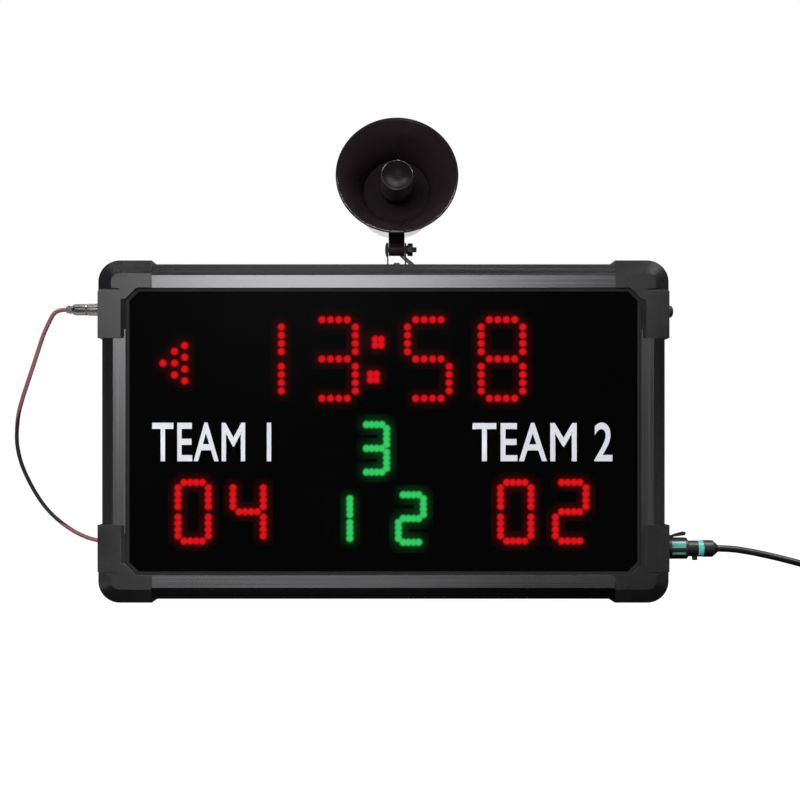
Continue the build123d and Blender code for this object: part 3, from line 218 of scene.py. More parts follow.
def fillFloor(tree):
    tree.nodes.clear()
    rays = tree.nodes.new("ShaderNodeLightPath").outputs
    place = tree.nodes.new("ShaderNodeTexCoord").outputs["Object"]
    parts = addNode(tree, "ShaderNodeSeparateXYZ", {0: place}).outputs
    # painted reflection: the floor glows for shiny faces only, with a painted shadow of the board close to it
    zone = addRamp(tree, parts["Y"], floorSet["farFrom"], floorSet["mirrorNear"], floorSet["mirrorFar"])
    for fade, share in (("fadeRight", "rightShare"), ("fadeLeft", "leftShare")):
        faded = addRamp(tree, parts["X"], floorSet[fade], 1.0, floorSet[share])
        zone = addMath(tree, "MULTIPLY", zone, faded)
    beside = addMath(tree, "MULTIPLY",
                     addRamp(tree, parts["X"], floorSet["besideFrom"], 0.0, floorSet["mirrorBeside"]),
                     addRamp(tree, parts["Y"], floorSet["besideUntil"], 0.0, 1.0))
    zone = addMath(tree, "MAXIMUM", zone, beside)
    matt, bounce = (addNode(tree, "ShaderNodeBsdfDiffuse", {"Color": (grey, grey, grey, 1)}).outputs[0]
                    for grey in (floorSet["matt"], floorSet["bounce"]))
    white, mirrored = (addNode(tree, "ShaderNodeEmission", {"Strength": strength}).outputs[0]
                       for strength in (floorSet["white"], zone))
    shown = addBlend(tree, floorSet["whiteShare"], matt, white)
    unseen = addBlend(tree, rays["Is Glossy Ray"], bounce, mirrored)
    surface = addBlend(tree, rays["Is Camera Ray"], unseen, shown)
    addNode(tree, "ShaderNodeOutputMaterial", {"Surface": surface})


floorMaterial = bpy.data.materials.new("paleFloor")
floorMaterial.use_nodes = True
fillFloor(floorMaterial.node_tree)
floorMesh = bpy.data.meshes.new("floor")
(left, right), (near, far) = floorSet["across"], floorSet["deep"]
floorCorners = [(left, near, 0), (right, near, 0), (right, far, 0), (left, far, 0)]
floorMesh.from_pydata(floorCorners, [], [(0, 1, 2, 3)])
floorMesh.materials.append(floorMaterial)
floor = bpy.data.objects.new("floor", floorMesh)
scene.collection.objects.link(floor)
print("camera, lights and floor ready")


# Shader node groups
def newGroup(name, inputs, outputs):
    group = bpy.data.node_groups.new(name, "ShaderNodeTree")
    for label, kind, start in inputs:
        socket = group.interface.new_socket(name=label, in_out="INPUT", socket_type=kind)
        socket.default_value = start
    for label, kind in outputs:
        group.interface.new_socket(name=label, in_out="OUTPUT", socket_type=kind)
    return group, group.nodes.new("NodeGroupInput").outputs, group.nodes.new("NodeGroupOutput").inputs


def addNoise(group, vector, scale, detail):
    noise = addNode(group, "ShaderNodeTexNoise", {"Vector": vector, "Scale": scale, "Detail": detail})
    return noise.outputs["Fac"]


def addMix(group, share, first, second):
    mix = addNode(group, "ShaderNodeMix", {"Factor": share, "A": first, "B": second}, data_type="RGBA")
    return mix.outputs["Result"]


def endSurface(group, source, result, pattern, colourSpan, roughSpan, height):
    share = addRange(group, pattern, colourSpan, 0.0, 1.0)
    group.links.new(addMix(group, share, source["Colour"], source["Second Colour"]), result["Colour"])
    rough = addRange(group, pattern, roughSpan, source["Low Roughness"], source["High Roughness"])
    group.links.new(rough, result["Roughness"])
    group.links.new(height, result["Height"])


surfaceInputs = [
    ("Colour", "NodeSocketColor", (0.05, 0.05, 0.05, 1)),
    ("Second Colour", "NodeSocketColor", (0.06, 0.06, 0.06, 1)),
    ("Low Roughness", "NodeSocketFloat", 0.4),
    ("High Roughness", "NodeSocketFloat", 0.5),
]
surfaceOutputs = [
    ("Colour", "NodeSocketColor"),
    ("Roughness", "NodeSocketFloat"),
    ("Height", "NodeSocketFloat"),
]

# Fine grain of a moulded or painted surface, with broad cloudy patches
grainSet = {"fineDetail": 3.0, "patchDetail": 4.0, "span": (0.3, 0.7)}
grain, grainIn, grainOut = newGroup("mouldedGrain", surfaceInputs + [
    ("Grain Scale", "NodeSocketFloat", 1800.0),
    ("Patch Scale", "NodeSocketFloat", 25.0),
], surfaceOutputs)
place = grain.nodes.new("ShaderNodeTexCoord").outputs["Object"]
fine = addNoise(grain, place, grainIn["Grain Scale"], grainSet["fineDetail"])
patch = addNoise(grain, place, grainIn["Patch Scale"], grainSet["patchDetail"])
endSurface(grain, grainIn, grainOut, patch, grainSet["span"], grainSet["span"], fine)

# Lines that a die or a brush leaves along one direction
drawnSet = {"detail": 4.0, "colourSpan": (0.32, 0.68), "roughSpan": (0.3, 0.7)}
drawn, drawnIn, drawnOut = newGroup("drawnLines", surfaceInputs + [
    ("Line Scale", "NodeSocketFloat", 1.0),
    ("Run", "NodeSocketVector", (2.0, 900.0, 900.0)),
], surfaceOutputs)
place = drawn.nodes.new("ShaderNodeTexCoord").outputs["Object"]
stretch = addNode(drawn, "ShaderNodeVectorMath", {0: place, 1: drawnIn["Run"]}, operation="MULTIPLY")
lines = addNoise(drawn, stretch.outputs[0], drawnIn["Line Scale"], drawnSet["detail"])
endSurface(drawn, drawnIn, drawnOut, lines, drawnSet["colourSpan"], drawnSet["roughSpan"], lines)

# Settled dust: a mask that is strongest on faces that look up
dustSet = {
    "colour": (0.45, 0.43, 0.40),
    "detail": 6.0,
    "speckSpan": (0.48, 0.72),
    "upSpan": (0.1, 0.9),
    "leastShare": 0.15,           # on faces that don't look up
}
dust, dustIn, dustOut = newGroup("settledDust", [
    ("Scale", "NodeSocketFloat", 90.0),
    ("Amount", "NodeSocketFloat", 0.2),
], [("Mask", "NodeSocketFloat")])
place = dust.nodes.new("ShaderNodeTexCoord").outputs["Object"]
speck = addNoise(dust, place, dustIn["Scale"], dustSet["detail"])
normal = dust.nodes.new("ShaderNodeNewGeometry").outputs["Normal"]
normalZ = addNode(dust, "ShaderNodeSeparateXYZ", {0: normal}).outputs["Z"]
mask = addMath(dust, "MULTIPLY", addRange(dust, speck, dustSet["speckSpan"], 0.0, 1.0),
               addRange(dust, normalZ, dustSet["upSpan"], dustSet["leastShare"], 1.0))
dust.links.new(addMath(dust, "MULTIPLY", mask, dustIn["Amount"]), dustOut["Mask"])

bumpDepth = 0.0002               # metres


def makeFinish(name, colour, second, rough, metallic=0.0, specular=0.5, bump=0.0, kind=grain, dusty=0.0,
               alpha=1.0, extra=None):
    material = bpy.data.materials.new(name)
    material.use_nodes = True
    tree = material.node_tree
    surface = tree.nodes["Principled BSDF"]
    pattern = addNode(tree, "ShaderNodeGroup", {
        "Colour": (*colour, 1), "Second Colour": (*second, 1),
        "Low Roughness": rough[0], "High Roughness": rough[1], **(extra or {}),
    }, node_tree=kind).outputs
    colourFrom = pattern["Colour"]
    if dusty > 0:
        settled = addNode(tree, "ShaderNodeGroup", {"Amount": dusty}, node_tree=dust)
        colourFrom = addMix(tree, settled.outputs["Mask"], colourFrom, (*dustSet["colour"], 1))
    tree.links.new(colourFrom, surface.inputs["Base Color"])
    tree.links.new(pattern["Roughness"], surface.inputs["Roughness"])
    if bump > 0:
        relief = addNode(tree, "ShaderNodeBump", {
            "Strength": bump, "Distance": bumpDepth, "Height": pattern["Height"],
        })
        tree.links.new(relief.outputs["Normal"], surface.inputs["Normal"])
    surface.inputs["Metallic"].default_value = metallic
    surface.inputs["Specular IOR Level"].default_value = specular
    surface.inputs["Alpha"].default_value = alpha
    return material


alongX = {"Run": (3.0, 700.0, 700.0)}
alongZ = {"Run": (700.0, 700.0, 3.0)}
finishSet = {
    # name: (colour, second colour, least and most roughness, the rest)
    "railAcross": ((0.15, 0.15, 0.155), (0.21, 0.21, 0.215), (0.20, 0.27),
                   dict(metallic=1.0, bump=0.05, kind=drawn, dusty=0.03, extra=alongX)),
    "railUpright": ((0.15, 0.15, 0.155), (0.21, 0.21, 0.215), (0.20, 0.27),
                    dict(metallic=1.0, bump=0.05, kind=drawn, extra=alongZ)),
    "cornerPlastic": ((0.006, 0.006, 0.007), (0.009, 0.009, 0.010), (0.22, 0.30),
                      dict(specular=0.8, bump=0.06, dusty=0.02, extra={"Grain Scale": 1400.0})),
    "gasketRubber": ((0.014, 0.014, 0.015), (0.019, 0.019, 0.020), (0.75, 0.9), dict(specular=0.2, bump=0.4)),
    "coverPaint": ((0.012, 0.012, 0.013), (0.018, 0.018, 0.019), (0.42, 0.55),
                   dict(bump=0.35, dusty=0.04, extra={"Grain Scale": 900.0})),
    "blackScrew": ((0.010, 0.009, 0.010), (0.020, 0.018, 0.019), (0.30, 0.42),
                   dict(metallic=0.3, specular=0.3)),
    "plainSheet": ((0.50, 0.50, 0.52), (0.60, 0.60, 0.62), (0.28, 0.4),
                   dict(metallic=1.0, bump=0.1, kind=drawn, extra=alongX)),
    "boardGreen": ((0.01, 0.10, 0.04), (0.015, 0.13, 0.05), (0.25, 0.35), dict(bump=0.1)),
    "chipBlack": ((0.012, 0.012, 0.012), (0.02, 0.02, 0.02), (0.5, 0.6), dict(bump=0.2)),
    "pinBrass": ((0.62, 0.43, 0.17), (0.70, 0.50, 0.22), (0.2, 0.32), dict(metallic=1.0)),
    "supplyCase": ((0.45, 0.46, 0.47), (0.52, 0.53, 0.54), (0.25, 0.4),
                   dict(metallic=1.0, kind=drawn, extra=alongX)),
    "nickel": ((0.34, 0.32, 0.31), (0.42, 0.40, 0.38), (0.12, 0.20), dict(metallic=1.0, bump=0.03)),
    "zinc": ((0.36, 0.36, 0.35), (0.46, 0.46, 0.45), (0.26, 0.40),
             dict(metallic=1.0, bump=0.08, extra={"Patch Scale": 160.0})),
    "buttonHousing": ((0.012, 0.012, 0.013), (0.02, 0.02, 0.02), (0.35, 0.45), dict(bump=0.1)),
    "buttonRubber": ((0.014, 0.014, 0.015), (0.022, 0.022, 0.023), (0.5, 0.62), dict(bump=0.15)),
    "plugNylon": ((0.007, 0.0065, 0.008), (0.011, 0.010, 0.012), (0.30, 0.40), dict(bump=0.08)),
    "plugTeal": ((0.09, 0.42, 0.38), (0.12, 0.48, 0.43), (0.30, 0.40), dict(bump=0.08)),
    "plugWindow": ((0.06, 0.27, 0.24), (0.10, 0.36, 0.32), (0.18, 0.26), dict(bump=0.04)),
    "sheathRubber": ((0.0045, 0.0042, 0.0046), (0.007, 0.0066, 0.0072), (0.28, 0.36),
                     dict(bump=0.05, dusty=0.01)),
    "tieFabric": ((0.015, 0.015, 0.016), (0.03, 0.03, 0.03), (0.85, 0.95),
                  dict(specular=0.2, bump=0.8, extra={"Grain Scale": 2500.0})),
    "hornPlastic": ((0.0110, 0.0070, 0.0086), (0.0135, 0.0090, 0.0106), (0.26, 0.34),
                    dict(specular=0.10, bump=0.04, dusty=0.006)),
    # the horn plastic painted darker, as painted shade at the bottom of the bell
    "hornDeep": ((0.0065, 0.0042, 0.0050), (0.0080, 0.0054, 0.0062), (0.40, 0.50),
                 dict(specular=0.06, bump=0.04)),
    # the horn plastic painted lighter, as a painted highlight on the deflector's tube
    "hornTube": ((0.045, 0.032, 0.037), (0.055, 0.040, 0.045), (0.40, 0.50), dict(specular=0.06, bump=0.04)),
    # a bright metal laid on the black horn's eased edges: a painted highlight along its rims
    "hornEdge": ((0.40, 0.38, 0.39), (0.50, 0.47, 0.48), (0.16, 0.24), dict(metallic=1.0)),
    "deflectorPlastic": ((0.0045, 0.0030, 0.0036), (0.0060, 0.0040, 0.0048), (0.34, 0.42),
                         dict(specular=0.15, bump=0.04)),
    "bracketSteel": ((0.020, 0.017, 0.018), (0.035, 0.030, 0.032), (0.32, 0.44),
                     dict(metallic=0.6, specular=0.3, bump=0.08)),
    "driverEnamel": ((0.72, 0.72, 0.73), (0.78, 0.78, 0.79), (0.35, 0.45), dict(bump=0.08, dusty=0.03)),
    "magnetLacquer": ((0.05, 0.05, 0.055), (0.07, 0.07, 0.07), (0.3, 0.42), dict(bump=0.1)),
    "leadRed": ((0.20, 0.065, 0.075), (0.25, 0.085, 0.095), (0.26, 0.34), dict(bump=0.03)),
    "leadBlack": ((0.010, 0.010, 0.011), (0.016, 0.016, 0.017), (0.30, 0.40), dict(bump=0.03)),
    "legendWhite": ((0.60, 0.61, 0.66), (0.64, 0.65, 0.70), (0.45, 0.55), dict(bump=0.03)),
    "smokedPanel": ((0.0012, 0.0012, 0.0013), (0.0018, 0.0018, 0.0019), (0.05, 0.09),
                    dict(specular=0.004, alpha=0.95, extra={"Patch Scale": 6.0})),
}
finishes = {name: makeFinish(name, *looks, **more) for name, (*looks, more) in finishSet.items()}

lensSet = {
    # name: (colour, strength of its light)
    "lensRed": ((0.30, 0.02, 0.015), 0.0),
    "lensGreen": ((0.03, 0.25, 0.06), 0.0),
    "lensRedLit": ((1.0, 0.035, 0.02), 18.0),
    "lensGreenLit": ((0.10, 0.95, 0.22), 18.0),
}
for name, (colour, strength) in lensSet.items():
    finishes[name] = makeFinish(name, colour, tuple(value * 1.1 for value in colour), (0.12, 0.2))
    if strength > 0:
        surface = finishes[name].node_tree.nodes["Principled BSDF"]
        surface.inputs["Emission Color"].default_value = (*colour, 1)
        surface.inputs["Emission Strength"].default_value = strength

dressing = {
    "railAcross": ["top_rail", "bottom_rail"],
    "railUpright": ["left_rail", "right_rail"],
    "cornerPlastic": ["corner_top_left", "corner_top_right", "corner_bottom_left", "corner_bottom_right"],
    "smokedPanel": ["front_panel"],
    "gasketRubber": ["panel_gasket"],
    "coverPaint": ["back_cover"],
    "blackScrew": ["corner_screws", "back_cover_screws", "pivot_bolt", "pivot_nut"],
    "plainSheet": ["carrier_plate", "amplifier_heatsink"],
    "boardGreen": ["led_board_clock", "led_board_arrows", "led_board_scores", "led_board_centre",
                   "controller_board", "siren_amplifier"],
    "chipBlack": ["controller_chips"],
    "pinBrass": ["standoffs", "hanging_inserts", "mains_plug_pins"],
    "supplyCase": ["power_supply"],
    "nickel": ["speaker_socket", "speaker_plug_ring", "speaker_plug_body", "speaker_plug_clamp"],
    "zinc": ["board_screws", "bracket_screws"],
    "bracketSteel": ["horn_bracket"],
    "buttonHousing": ["power_button_body"],
    "buttonRubber": ["power_button"],
    "plugNylon": ["power_inlet", "power_plug_body", "power_plug_latch", "power_plug_tail", "mains_plug",
                  "driver_gland", "lead_clips"],
    "plugTeal": ["power_plug_band"],
    "tieFabric": ["coil_tie"],
    "hornPlastic": ["horn_bell", "horn_throat"],
    "deflectorPlastic": ["horn_deflector"],
    "driverEnamel": ["driver_cover"],
    "magnetLacquer": ["driver_motor"],
}
for finish, group in dressing.items():
    for name in group:
        nodes[name].data.materials.clear()
        nodes[name].data.materials.append(finishes[finish])
print("finishes ready:", len(finishes))


# Helpers for new pieces
def addPiece(name, data, body, replaced=()):
    piece = bpy.data.objects.new(name, data)
    scene.collection.objects.link(piece)
    if body:
        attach(piece, body)
    if replaced:
        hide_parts(*replaced)
    return piece


def setValues(mesh, name, values):
    mesh.attributes.new(name, "FLOAT", "POINT").data.foreach_set("value", values)


def bridge(shape, rings):
    faces = []
    for one, two in zip(rings, rings[1:]):
        for corner in range(len(one)):
            after = (corner + 1) % len(one)
            faces.append(shape.faces.new((one[corner], one[after], two[after], two[corner])))
    shape.faces.new(rings[0])
    shape.faces.new(rings[-1])
    return faces


def toMesh(shape, name, *finishNames):
    mesh = bpy.data.meshes.new(name)
    shape.to_mesh(mesh)
    shape.free()
    for finish in finishNames:
        mesh.materials.append(finishes[finish])
    return mesh


def closedMesh(shape, name, *finishNames):
    bmesh.ops.recalc_face_normals(shape, faces=shape.faces)
    return toMesh(shape, name, *finishNames)


# Copies of frame pieces with their sharp edges eased
easedSet = {
    # nodes: width of the easing, least angle in degrees of an edge that is eased, slot, body, finish, and the
    # finish of the eased strips where it differs
    ("corner_top_left", "corner_top_right", "corner_bottom_left", "corner_bottom_right"):
        (0.7, 14, "moulded_corner", "board", "cornerPlastic"),
    ("top_rail", "bottom_rail"): (0.35, 13, "anodised_rail", "board", "railAcross"),
    ("left_rail", "right_rail"): (0.35, 13, "anodised_rail", "board", "railUpright"),
    ("mains_plug",): (0.35, 28, "plug_black", "board", "plugNylon"),
    ("power_plug_body",): (0.25, 28, "plug_black", "board", "plugNylon"),
    ("horn_bracket",): (0.25, 28, "zinc_fitting", "board", "bracketSteel"),
    ("speaker_plug_clamp",): (0.25, 28, "nickel_fitting", "board", "nickel"),
    ("power_supply",): (0.25, 28, "supply_steel", "board", "supplyCase"),
    # on the horn the eased strips take a bright metal finish, a painted highlight on the black plastic's
    # edges
    ("horn_deflector",): (0.8, 28, "horn_plastic", "horn", "deflectorPlastic", "hornEdge"),
    ("horn_bell",): (0.55, 28, "horn_plastic", "horn", "hornPlastic", "hornEdge"),
}


def turnAt(edge):
    return edge.calc_face_angle(0.0) if len(edge.link_faces) == 2 else 0.0


def easeEdges(nodeName, width, degrees, slotName, body, *finishNames):
    least = math.radians(degrees)
    source = nodes[nodeName]
    shape = bmesh.new()
    shape.from_mesh(source.data)
    shape.transform(source.matrix_world)
    bmesh.ops.remove_doubles(shape, verts=shape.verts, dist=1e-6)
    bmesh.ops.dissolve_limit(shape, angle_limit=math.radians(0.5), verts=shape.verts, edges=shape.edges)
    for face in shape.faces:
        face.material_index = 0
    sharp = [edge for edge in shape.edges if turnAt(edge) > least]
    bmesh.ops.bevel(shape, geom=sharp, offset=width / 1000, offset_type="OFFSET", segments=2, profile=0.5,
                    affect="EDGES", clamp_overlap=True, material=1)
    for edge in shape.edges:
        kinds = {face.material_index for face in edge.link_faces}
        edge.smooth = kinds == {1} or (kinds == {0} and turnAt(edge) < least)
    for face in shape.faces:
        face.smooth = True
        if len(finishNames) == 1:
            face.material_index = 0
    name = "eased" + "".join(word.capitalize() for word in nodeName.split("_"))
    return addPiece(name, toMesh(shape, nodeName, *finishNames), body, [nodeName])


easedPieces = {nodeName: easeEdges(nodeName, *values)
               for group, values in easedSet.items() for nodeName in group}
print("edges eased on", len(easedPieces), "pieces")

# Parts of the horn's surface painted darker or lighter: painted shade at the bottom of the bell and a painted
# highlight on the deflector's tube; the rest of the bell and the deflector's front keep their plain finish,
# so only the rim's eased edges keep their painted highlight
hornSet = {
    "rim": (15.5, -36.53, 492.23),
    "tilt": 12.0,
    "spans": (
        # piece, finish, span behind the rim, span off the axis
        ("horn_bell", "hornDeep", (46.0, 51.5), (0.0, 40.5)),
        ("horn_bell", "hornPlastic", (2.4, 200.0), (0.0, 100.0)),
        ("horn_deflector", "hornTube", (4.0, 60.0), (17.8, 19.0)),
        ("horn_deflector", "deflectorPlastic", (-1.0, 60.0), (0.0, 17.55)),
    ),
}
hornTilt = math.radians(hornSet["tilt"])
hornAlong = Vector((0, math.cos(hornTilt), -math.sin(hornTilt)))
marked = set()
for nodeName, finish, behindSpan, awaySpan in hornSet["spans"]:
    mesh = easedPieces[nodeName].data
    mesh.materials.append(finishes[finish])
    for polygon in mesh.polygons:
        arm = polygon.center * 1000 - Vector(hornSet["rim"])
        behind = arm.dot(hornAlong)
        away = (arm - hornAlong * behind).length
        within = behindSpan[0] < behind < behindSpan[1] and awaySpan[0] <= away < awaySpan[1]
        if within and (nodeName, polygon.index) not in marked:
            polygon.material_index = len(mesh.materials) - 1
            marked.add((nodeName, polygon.index))
print("horn faces given their own finish:", len(marked))

# Display diodes
displaySet = {
    "dots": 4,
    "clockCell": (48.0, 90.8, 9.7, 9.45),       # width, height, pitch across, pitch down
    "scoreCell": (35.0, 67.6, 7.0, 7.2),
    "smallCell": (28.7, 54.8, 5.95, 6.1),
    "clockCentres": (-141.8, -56.4, 51.8, 136.8),
    "clockLevel": 281.2,
    "clockShows": "1358",
    "colonCentres": ((-6.0, 300.6), (-11.6, 260.5)),
    "colonPitch": 6.9,
    "scoreCentres": (-219.6, -156.1, 152.7, 216.1),
    "scoreLevel": 104.9,
    "scoreShows": "0402",
    "periodCentres": (-10.7,),
    "periodLevel": 178.1,
    "periodShows": "3",
    "foulCentres": (-53.1, 31.7),
    "foulLevel": 97.1,
    "foulShows": "12",
    "arrowTip": 254.4,
    "arrowColumns": (0.0, 13.3, 25.0),
    "arrowCounts": (1, 3, 4),
    "arrowPitch": 13.6,
    "arrowLevel": 276.4,
    "seat": -14.9,                               # front of the display boards
    "lensRadius": 2.5,
    "lensHeight": 8.6,
    "rimRadius": 2.85,
    "rimHeight": 1.0,
    "sides": 16,
    "domeRings": 10,
}
litParts = {"0": "adfebc", "1": "bc", "2": "abged", "3": "abgcd", "4": "fgbc", "5": "afgcd", "8": "adfebcg"}


def digitDots(x, z, cell, shown):
    width, height, pitchAcross, pitchDown = cell
    steps = [step - (displaySet["dots"] - 1) / 2 for step in range(displaySet["dots"])]
    dots = []
    for part, row in (("a", height / 2), ("g", 0), ("d", -height / 2)):
        dots += [(x + step * pitchAcross, z + row, part in litParts[shown]) for step in steps]
    for part, side, middle in (("f", -1, 1), ("e", -1, -1), ("b", 1, 1), ("c", 1, -1)):
        dots += [(x + side * width / 2, z + middle * height / 4 + step * pitchDown, part in litParts[shown])
                 for step in steps]
    return dots


def digitRow(kind, cell):
    level = displaySet[kind + "Level"]
    return [dot for x, shown in zip(displaySet[kind + "Centres"], displaySet[kind + "Shows"])
            for dot in digitDots(x, level, displaySet[cell], shown)]


def arrowDots(side):
    dots = []
    for column, count in zip(displaySet["arrowColumns"], displaySet["arrowCounts"]):
        for dot in range(count):
            z = displaySet["arrowLevel"] + (dot - (count - 1) / 2) * displaySet["arrowPitch"]
            dots.append((side * (displaySet["arrowTip"] - column), z, side < 0))
    return dots


half = displaySet["colonPitch"] / 2
colonDots = [(x + i * half, z + j * half, True) for x, z in displaySet["colonCentres"]
             for i in (-1, 1) for j in (-1, 1)]
clockDots = colonDots + digitRow("clock", "clockCell")
scoreDots = digitRow("score", "scoreCell")
centreDots = digitRow("period", "smallCell") + digitRow("foul", "smallCell")
arrows = arrowDots(-1) + arrowDots(1)


# One diode is a rim, a barrel and a dome; the tree puts one on each point, looking to the front
def makeDiodeTree():
    tree = bpy.data.node_groups.new("diodeField", "GeometryNodeTree")
    for label, kind in (("Geometry", "Geometry"), ("Lens Radius", "Float"), ("Lens Height", "Float"),
                        ("Rim Radius", "Float"), ("Rim Height", "Float"),
                        ("Lit", "Material"), ("Dark", "Material")):
        tree.interface.new_socket(name=label, in_out="INPUT", socket_type="NodeSocket" + kind)
    tree.interface.new_socket(name="Geometry", in_out="OUTPUT", socket_type="NodeSocketGeometry")
    source = tree.nodes.new("NodeGroupInput").outputs
    result = tree.nodes.new("NodeGroupOutput").inputs

    def add(kind, inputs, **settings):
        return addNode(tree, kind, inputs, **settings).outputs[0]

    sides = displaySet["sides"]
    radius, rimHeight = source["Lens Radius"], source["Rim Height"]
    straight = addMath(tree, "SUBTRACT", source["Lens Height"], radius)
    rim, barrel = (add("GeometryNodeMeshCylinder", {"Vertices": sides, "Radius": wide, "Depth": high})
                   for wide, high in ((source["Rim Radius"], rimHeight), (radius, straight)))
    dome = add("GeometryNodeMeshUVSphere", {
        "Segments": sides, "Rings": displaySet["domeRings"], "Radius": radius,
    })
    join = tree.nodes.new("GeometryNodeJoinGeometry")
    for part, height in ((dome, straight), (barrel, addMath(tree, "MULTIPLY", straight, 0.5)),
                         (rim, addMath(tree, "MULTIPLY", rimHeight, 0.5))):
        lift = add("ShaderNodeCombineXYZ", {"Z": height})
        tree.links.new(add("GeometryNodeTransform", {"Geometry": part, "Translation": lift}), join.inputs[0])
    diode = add("GeometryNodeSetShadeSmooth", {"Geometry": join.outputs[0]})
    points = add("GeometryNodeMeshToPoints", {"Mesh": source["Geometry"]})
    placed = add("GeometryNodeInstanceOnPoints", {"Points": points, "Instance": diode,
                                                  "Rotation": (math.radians(90), 0, 0)})
    placed = add("GeometryNodeRealizeInstances", {0: placed})
    placed = add("GeometryNodeSetMaterial", {"Geometry": placed, "Material": source["Dark"]})
    lit = add("GeometryNodeInputNamedAttribute", {"Name": "lit"}, data_type="FLOAT")
    lit = addMath(tree, "GREATER_THAN", lit, 0.5)
    placed = add("GeometryNodeSetMaterial", {"Geometry": placed, "Selection": lit, "Material": source["Lit"]})
    tree.links.new(placed, result[0])
    return tree


def applyTree(name, mesh, tree, values):
    carrier = bpy.data.objects.new(name, mesh)
    scene.collection.objects.link(carrier)
    modifier = carrier.modifiers.new("shape", "NODES")
    modifier.node_group = tree
    labels = {item.name: item.identifier for item in tree.interface.items_tree
              if item.item_type == "SOCKET" and item.in_out == "INPUT"}
    for label, value in values.items():
        modifier[labels[label]] = value
    bpy.context.view_layer.update()
    depsgraph = bpy.context.evaluated_depsgraph_get()
    made = bpy.data.meshes.new_from_object(carrier.evaluated_get(depsgraph), depsgraph=depsgraph)
    carrier.modifiers.clear()
    bpy.data.objects.remove(carrier)
    made.name = name
    return made


def makeDiodes(name, dots, finish, replaced):
    mesh = bpy.data.meshes.new(name)
    mesh.from_pydata([metres((x, displaySet["seat"], z)) for x, z, on in dots], [], [])
    setValues(mesh, "lit", [1.0 if on else 0.0 for x, z, on in dots])
    made = applyTree(name, mesh, diodeTree, {
        "Lens Radius": displaySet["lensRadius"] / 1000, "Lens Height": displaySet["lensHeight"] / 1000,
        "Rim Radius": displaySet["rimRadius"] / 1000, "Rim Height": displaySet["rimHeight"] / 1000,
        "Lit": finishes[finish + "Lit"], "Dark": finishes[finish]})
    return addPiece(name, made, "board", [replaced])


diodeTree = makeDiodeTree()
makeDiodes("clockDiodes", clockDots, "lensRed", "leds_clock")
makeDiodes("arrowDiodes", arrows, "lensRed", "leds_arrows")
makeDiodes("scoreDiodes", scoreDots, "lensRed", "leds_scores")
makeDiodes("centreDiodes", centreDots, "lensGreen", "leds_centre")
print("diodes placed:", len(clockDots) + len(arrows) + len(scoreDots) + len(centreDots))

# Glow of the lit diodes in the smoked panel
glowSet = {
    "step": 1.25,                 # grid step
    "margin": 11.0,
    "core": 2.6,
    "edge": 5.3,
    "coreShare": 0.85,
    "haze": 9.0,
    "hazeShare": 0.022,
    "level": -27.62,
    "red": (0.80, 0.008, 0.012),
    "green": (0.035, 0.66, 0.13),
    "strength": 1.0,
}


def glowAt(x, z, lamps):
    total = 0.0
    for lampX, lampZ in lamps:
        away = math.hypot(x - lampX, z - lampZ)
        if away < 3 * glowSet["haze"]:
            ring = glowSet["coreShare"] * eased(away, glowSet["edge"], glowSet["core"])
            total = max(total, ring) + glowSet["hazeShare"] * math.exp(-(away / glowSet["haze"]) ** 2)
    return min(total, 1.0)


def makeGlow(name, dots, colour):
    lamps = [(x, z) for x, z, on in dots if on]
    margin, step = glowSet["margin"], glowSet["step"]
    cells = {}
    for lampX, lampZ in lamps:
        for i in range(int((lampX - margin) // step), int((lampX + margin) // step) + 1):
            for j in range(int((lampZ - margin) // step), int((lampZ + margin) // step) + 1):
                cells[(i, j)] = True
    index, places, faces = {}, [], []
    for i, j in cells:
        corners = []
        for corner in ((i, j), (i + 1, j), (i + 1, j + 1), (i, j + 1)):
            if corner not in index:
                index[corner] = len(places)
                places.append(metres((corner[0] * step, glowSet["level"], corner[1] * step)))
            corners.append(index[corner])
        faces.append(corners)
    mesh = bpy.data.meshes.new(name)
    mesh.from_pydata(places, [], faces)
    setValues(mesh, "glow", [glowAt(x * 1000, z * 1000, lamps) for x, y, z in places])
    material = bpy.data.materials.new(name)
    material.use_nodes = True
    tree = material.node_tree
    surface = tree.nodes["Principled BSDF"]
    surface.inputs["Base Color"].default_value = (0, 0, 0, 1)
    surface.inputs["Specular IOR Level"].default_value = 0.0
    surface.inputs["Emission Color"].default_value = (*colour, 1)
    surface.inputs["Emission Strength"].default_value = glowSet["strength"]
    reading = addNode(tree, "ShaderNodeAttribute", attribute_name="glow")
    tree.links.new(reading.outputs["Fac"], surface.inputs["Alpha"])
    mesh.materials.append(material)
    return addPiece(name, mesh, "board")


makeGlow("redGlow", clockDots + arrows + scoreDots, glowSet["red"])
makeGlow("greenGlow", centreDots, glowSet["green"])
print("glow laid")

# Printed legends on the panel's front
legendSet = {
    "level": -27.62,
    "weight": 0.0125,             # shares of the letters' height
    "spacing": 1.08,
    "legends": {
        # name: (words, left, right, low, high)
        "homeLegend": ("TEAM 1", -266.8, -129.5, 163.2, 207.9),
        "guestLegend": ("TEAM 2", 102.8, 264.3, 163.2, 207.9),
    },
}


